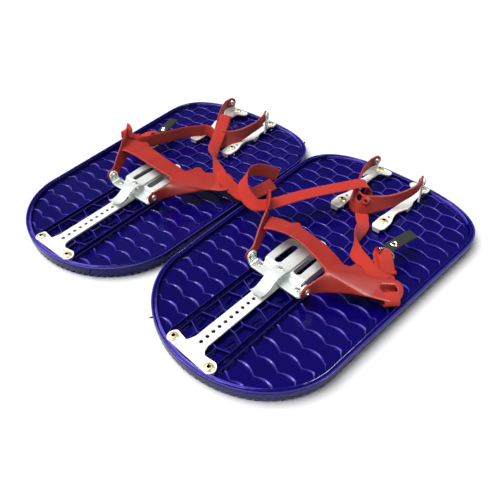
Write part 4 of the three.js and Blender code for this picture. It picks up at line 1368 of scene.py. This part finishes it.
# The outer webbing runs from the toe cage to under the flat or raised wing on the outer side.
# The crossing webbing runs from the cage to the wing on the inner side.
outer_keys = {
    "right": [
        (0, 330, 16, -0.8, -0.6, 0), (11.7, 314, 18, -0.75, -0.6, 0.1),
        (20.5, 302, 20, -0.72, -0.45, 0.35), (26.7, 280.5, 22, -0.5, -0.3, 0.8),
        (34, 261, 24, -0.1, 0.3, 0.95), (48.5, 244, 27, 0.3, 0.7, 0.6),
        (64.5, 236.7, 28, 0.5, 0.8, 0.25), (82, 229.4, 27, 0.5, 0.85, 0.1), (95, 230, 23, 0.6, 0.8, 0),
        (103, 233, 19.5, 0.6, 0.8, 0),
    ],
    "left": [
        (2, 330, 22, 0.1, 0.3, 0.95), (14, 336, 28, 0.1, 0.3, 0.95), (26.8, 334.4, 30, 0.1, 0.3, 0.95),
        (33, 326.4, 30, 0.1, 0.3, 0.95), (46.8, 305, 32, 0.1, 0.3, 0.95), (55, 279, 34, 0.1, 0.3, 0.95),
        (63, 254, 36, 0.1, 0.3, 0.95), (68, 238, 38, 0.1, 0.3, 0.95), (77, 227, 38, 0.1, 0.3, 0.95),
        (88, 227, 38, 0.1, 0.3, 0.95),
    ],
}
crossing_keys = {
    "right": [
        (-8, 350, 22, -0.85, 0.5, 0), (-9, 357, 33, -0.85, 0.5, 0), (-14, 357, 43, -0.85, 0.5, 0.1),
        (-21.8, 350, 46, -0.85, 0.5, 0.1), (-33, 332.6, 45, -0.85, 0.5, 0.1),
        (-54, 298.3, 44, -0.85, 0.5, 0.1), (-69, 268, 44, -0.75, 0.65, 0.1),
        (-81, 236, 45, -0.6, 0.8, 0.1), (-88, 219, 46, -0.5, 0.85, 0.2),
    ],
    "left": [
        (12, 364, 28, 0.88, -0.45, 0.1), (15, 374, 38, 0.88, -0.45, 0.1),
        (11, 371, 47, 0.88, -0.45, 0.1), (1, 351, 42, 0.88, -0.45, 0.1),
        (-13.4, 323.4, 37, 0.88, -0.45, 0.2), (-26, 298, 34, 0.8, -0.4, 0.4),
        (-38.7, 280.7, 34, 0.6, -0.3, 0.7), (-54.4, 265, 35, 0.2, 0.3, 0.95),
        (-74, 251.8, 36, 0.1, 0.7, 0.7), (-90, 244, 34, 0.1, 0.85, 0.5),
    ],
}
# Each strap is drawn in three spans, which meet at shared sections.
for word, keys in (("outer", outer_keys), ("crossing", crossing_keys)):
    for part, (t0, t1), low, high in (
        ("cage", (0.0, 0.34), "cage", "shoe"),
        ("middle", (0.34, 0.67), "shoe", "carriage"),
        ("cup", (0.67, 1.0), "carriage", "cup"),
    ):
        meshes = {side: tape(keys[side], 40, span=(t0, t1)) for side in shoe_frames}
        for side, piece in both_shoes(f"{word}_webbing_{part}_span", meshes, red_webbing, 50):
            start, end = [shoe_frames[side] @ Vector(spline_point(keys[side], t)[:3]) for t in (t0, t1)]
            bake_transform(piece)
            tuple(start)
            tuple(end)
            if part == "middle":
                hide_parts(f"{side}_{word}_webbing")

# The free tails. The right one loops up over the space between the shoes, and the left one
# leaves its wing's slot and lies across to the other shoe.
tail_keys = {
    "right": [
        (-88, 219, 46, -0.5, 0.85, 0.2), (-97, 208.7, 47, -0.35, 0.85, 0.35),
        (-110, 208, 49, -0.1, 0.82, 0.5), (-127, 214, 54, 0, 0.8, 0.6), (-140, 227, 57, 0.1, 0.78, 0.62),
        (-147, 243, 58, 0.1, 0.75, 0.65), (-146, 262, 55, 0.1, 0.72, 0.68),
        (-139, 279, 47, 0.1, 0.7, 0.7), (-130, 292, 37, 0.1, 0.7, 0.7),
    ],
    "left": [
        (-88, 240, 41, 0, 0.8, 0.55), (-97.4, 235, 41, 0, 0.8, 0.55), (-111.7, 231.7, 38, 0, 0.8, 0.55),
        (-126.5, 230.6, 34, 0, 0.8, 0.55), (-142.7, 231.5, 30, 0.2, 0.8, 0.5),
        (-149, 243, 29, 0.6, 0.5, 0.5), (-154, 261, 28, 0.8, 0.1, 0.5), (-157, 287, 26, 0.8, 0, 0.5),
    ],
}
meshes = {side: tape(keys, 110) for side, keys in tail_keys.items()}
fit("webbing_tail_tape", meshes, red_webbing, "cup", "webbing", "webbing_tail", smooth=50)

# The buckle webbing loops round the wing's end bar, passes underneath and folds over both rings.
buckle_keys = {
    "right": [
        (113, 220, 17, 0.66, 0.75, 0), (115.6, 217.6, 22, 0.66, 0.75, 0),
        (117.3, 216, 27, 0.66, 0.75, 0), (121, 212.5, 27.4, 0.66, 0.75, 0),
        (125.5, 208, 24.5, 0.66, 0.75, 0), (127, 206.5, 19, 0.66, 0.75, 0),
        (121, 211, 15.8, 0.66, 0.75, 0), (111, 222, 16, 0.66, 0.75, 0), (103, 236, 19.5, 0.66, 0.75, 0),
        (94, 240, 25, 0.65, 0.75, 0), (84, 247, 30, 0.62, 0.78, 0), (75, 258, 35, 0.6, 0.8, 0),
        (77, 260, 37, 0.6, 0.8, 0), (86, 252, 35, 0.62, 0.78, 0), (97, 243, 26, 0.65, 0.75, 0),
        (99, 245, 22.5, 0.65, 0.75, 0),
    ],
    "left": [
        (92, 216, 46, -0.3, 0.9, 0.2), (99, 222, 53, 0.2, 0.9, 0.2), (107, 228, 52, 0.5, 0.8, 0),
        (108, 232, 43, 0.6, 0.8, 0), (103, 238, 33, 0.7, 0.7, 0), (94, 242, 31, 0.65, 0.75, 0),
        (84, 248, 33, 0.62, 0.78, 0), (75, 258, 36, 0.6, 0.8, 0), (77, 260, 38, 0.6, 0.8, 0),
        (86, 252, 37, 0.62, 0.78, 0), (97, 243, 30, 0.65, 0.75, 0), (99, 245, 27, 0.65, 0.75, 0),
    ],
}
meshes = {side: tape(keys, 130) for side, keys in buckle_keys.items()}
fit("buckle_webbing_tape", meshes, red_webbing, "cup", "webbing", "buckle_webbing", smooth=50)

# D rings: bent from polished nickel wire. One is fixed in the buckle webbing and the other
# lifts with the release tab.
nickel, tree, shader = new_material("polished_nickel_wire", "#DAD8D0", {"Metallic": 1.0, "Roughness": 0.16})
place = add(tree, "ShaderNodeTexCoord")
draw = add(tree, "ShaderNodeTexNoise", {"Scale": 800.0, "Detail": 2.0}, {"Vector": place.outputs["Object"]})
gloss = add(tree, "ShaderNodeMapRange", {"To Min": 0.1, "To Max": 0.26}, {"Value": draw.outputs["Fac"]})
tree.links.new(gloss.outputs["Result"], shader.inputs["Roughness"])


def d_ring(at, lift, turn):
    """A D of round wire, its straight side along x before it is lifted and turned."""
    wire = bpy.data.curves.new("ring", "CURVE")
    wire.dimensions = "3D"
    wire.bevel_depth = 1.4
    wire.bevel_resolution = 3
    line = [(x, 0) for x in (-10, -5, 0, 5, 10)] + arc(0, 1.5, 12.6, -5, 185, 18)
    add_loop(wire, line)
    mesh = plain_mesh(put("ring", wire))
    turning = Matrix.Rotation(turn, 4, "Z") @ Matrix.Rotation(lift, 4, "X")
    mesh.transform(Matrix.Translation(at) @ turning)
    return mesh


RING_TURN = 0.6
fixed_ring = d_ring((82.5, 252.5, 20.3), 0, RING_TURN)
fit("fixed_d_ring_wire", fixed_ring, nickel, "cup", "nickel_wire", "fixed_d_ring")
upper_ring = d_ring((80.5, 256, 33), 0.15, RING_TURN)
fit("release_d_ring_wire", upper_ring, nickel, "release", "nickel_wire", "release_d_ring")

# The release tab: a stiff double fold of black-green webbing round the upper ring, with a
# nickel eyelet pressed through both layers.
tab_webbing = webbing_finish("woven_black_polyester", "#1C1E18", "#3A3C32")
tab_keys = [
    (76, 272, 32.5, 0.95, -0.25, 0), (77, 279, 34, 0.95, -0.25, 0), (78.5, 283, 34.6, 0.95, -0.25, 0),
    (81, 295, 35.6, 0.95, -0.25, 0), (87, 317, 37, 0.95, -0.25, 0),
]
tab_mesh = tape(tab_keys, 40, 8, 2.4)
fit("release_tab_fold", tab_mesh, tab_webbing, "release", "tab_webbing", "release_tab", smooth=50)
EYELET = [
    (2.0, -2.0), (4.4, -2.0), (4.8, -1.6), (2.6, -1.4), (2.6, 1.4), (4.8, 1.5), (4.5, 2.1), (3.4, 2.6),
    (2.3, 2.2), (2.0, 1.6),
]
eyelet = lathe(EYELET + [EYELET[0]], (0, 0), 28)
eyelet.transform(Matrix.Translation((78.5, 283, 34.8)) @ Matrix.Rotation(0.12, 4, "X"))
fit("tab_eyelet_ring", eyelet, nickel, "release", "nickel_wire", "tab_eyelet")

bpy.data.objects.remove(screw_pattern)
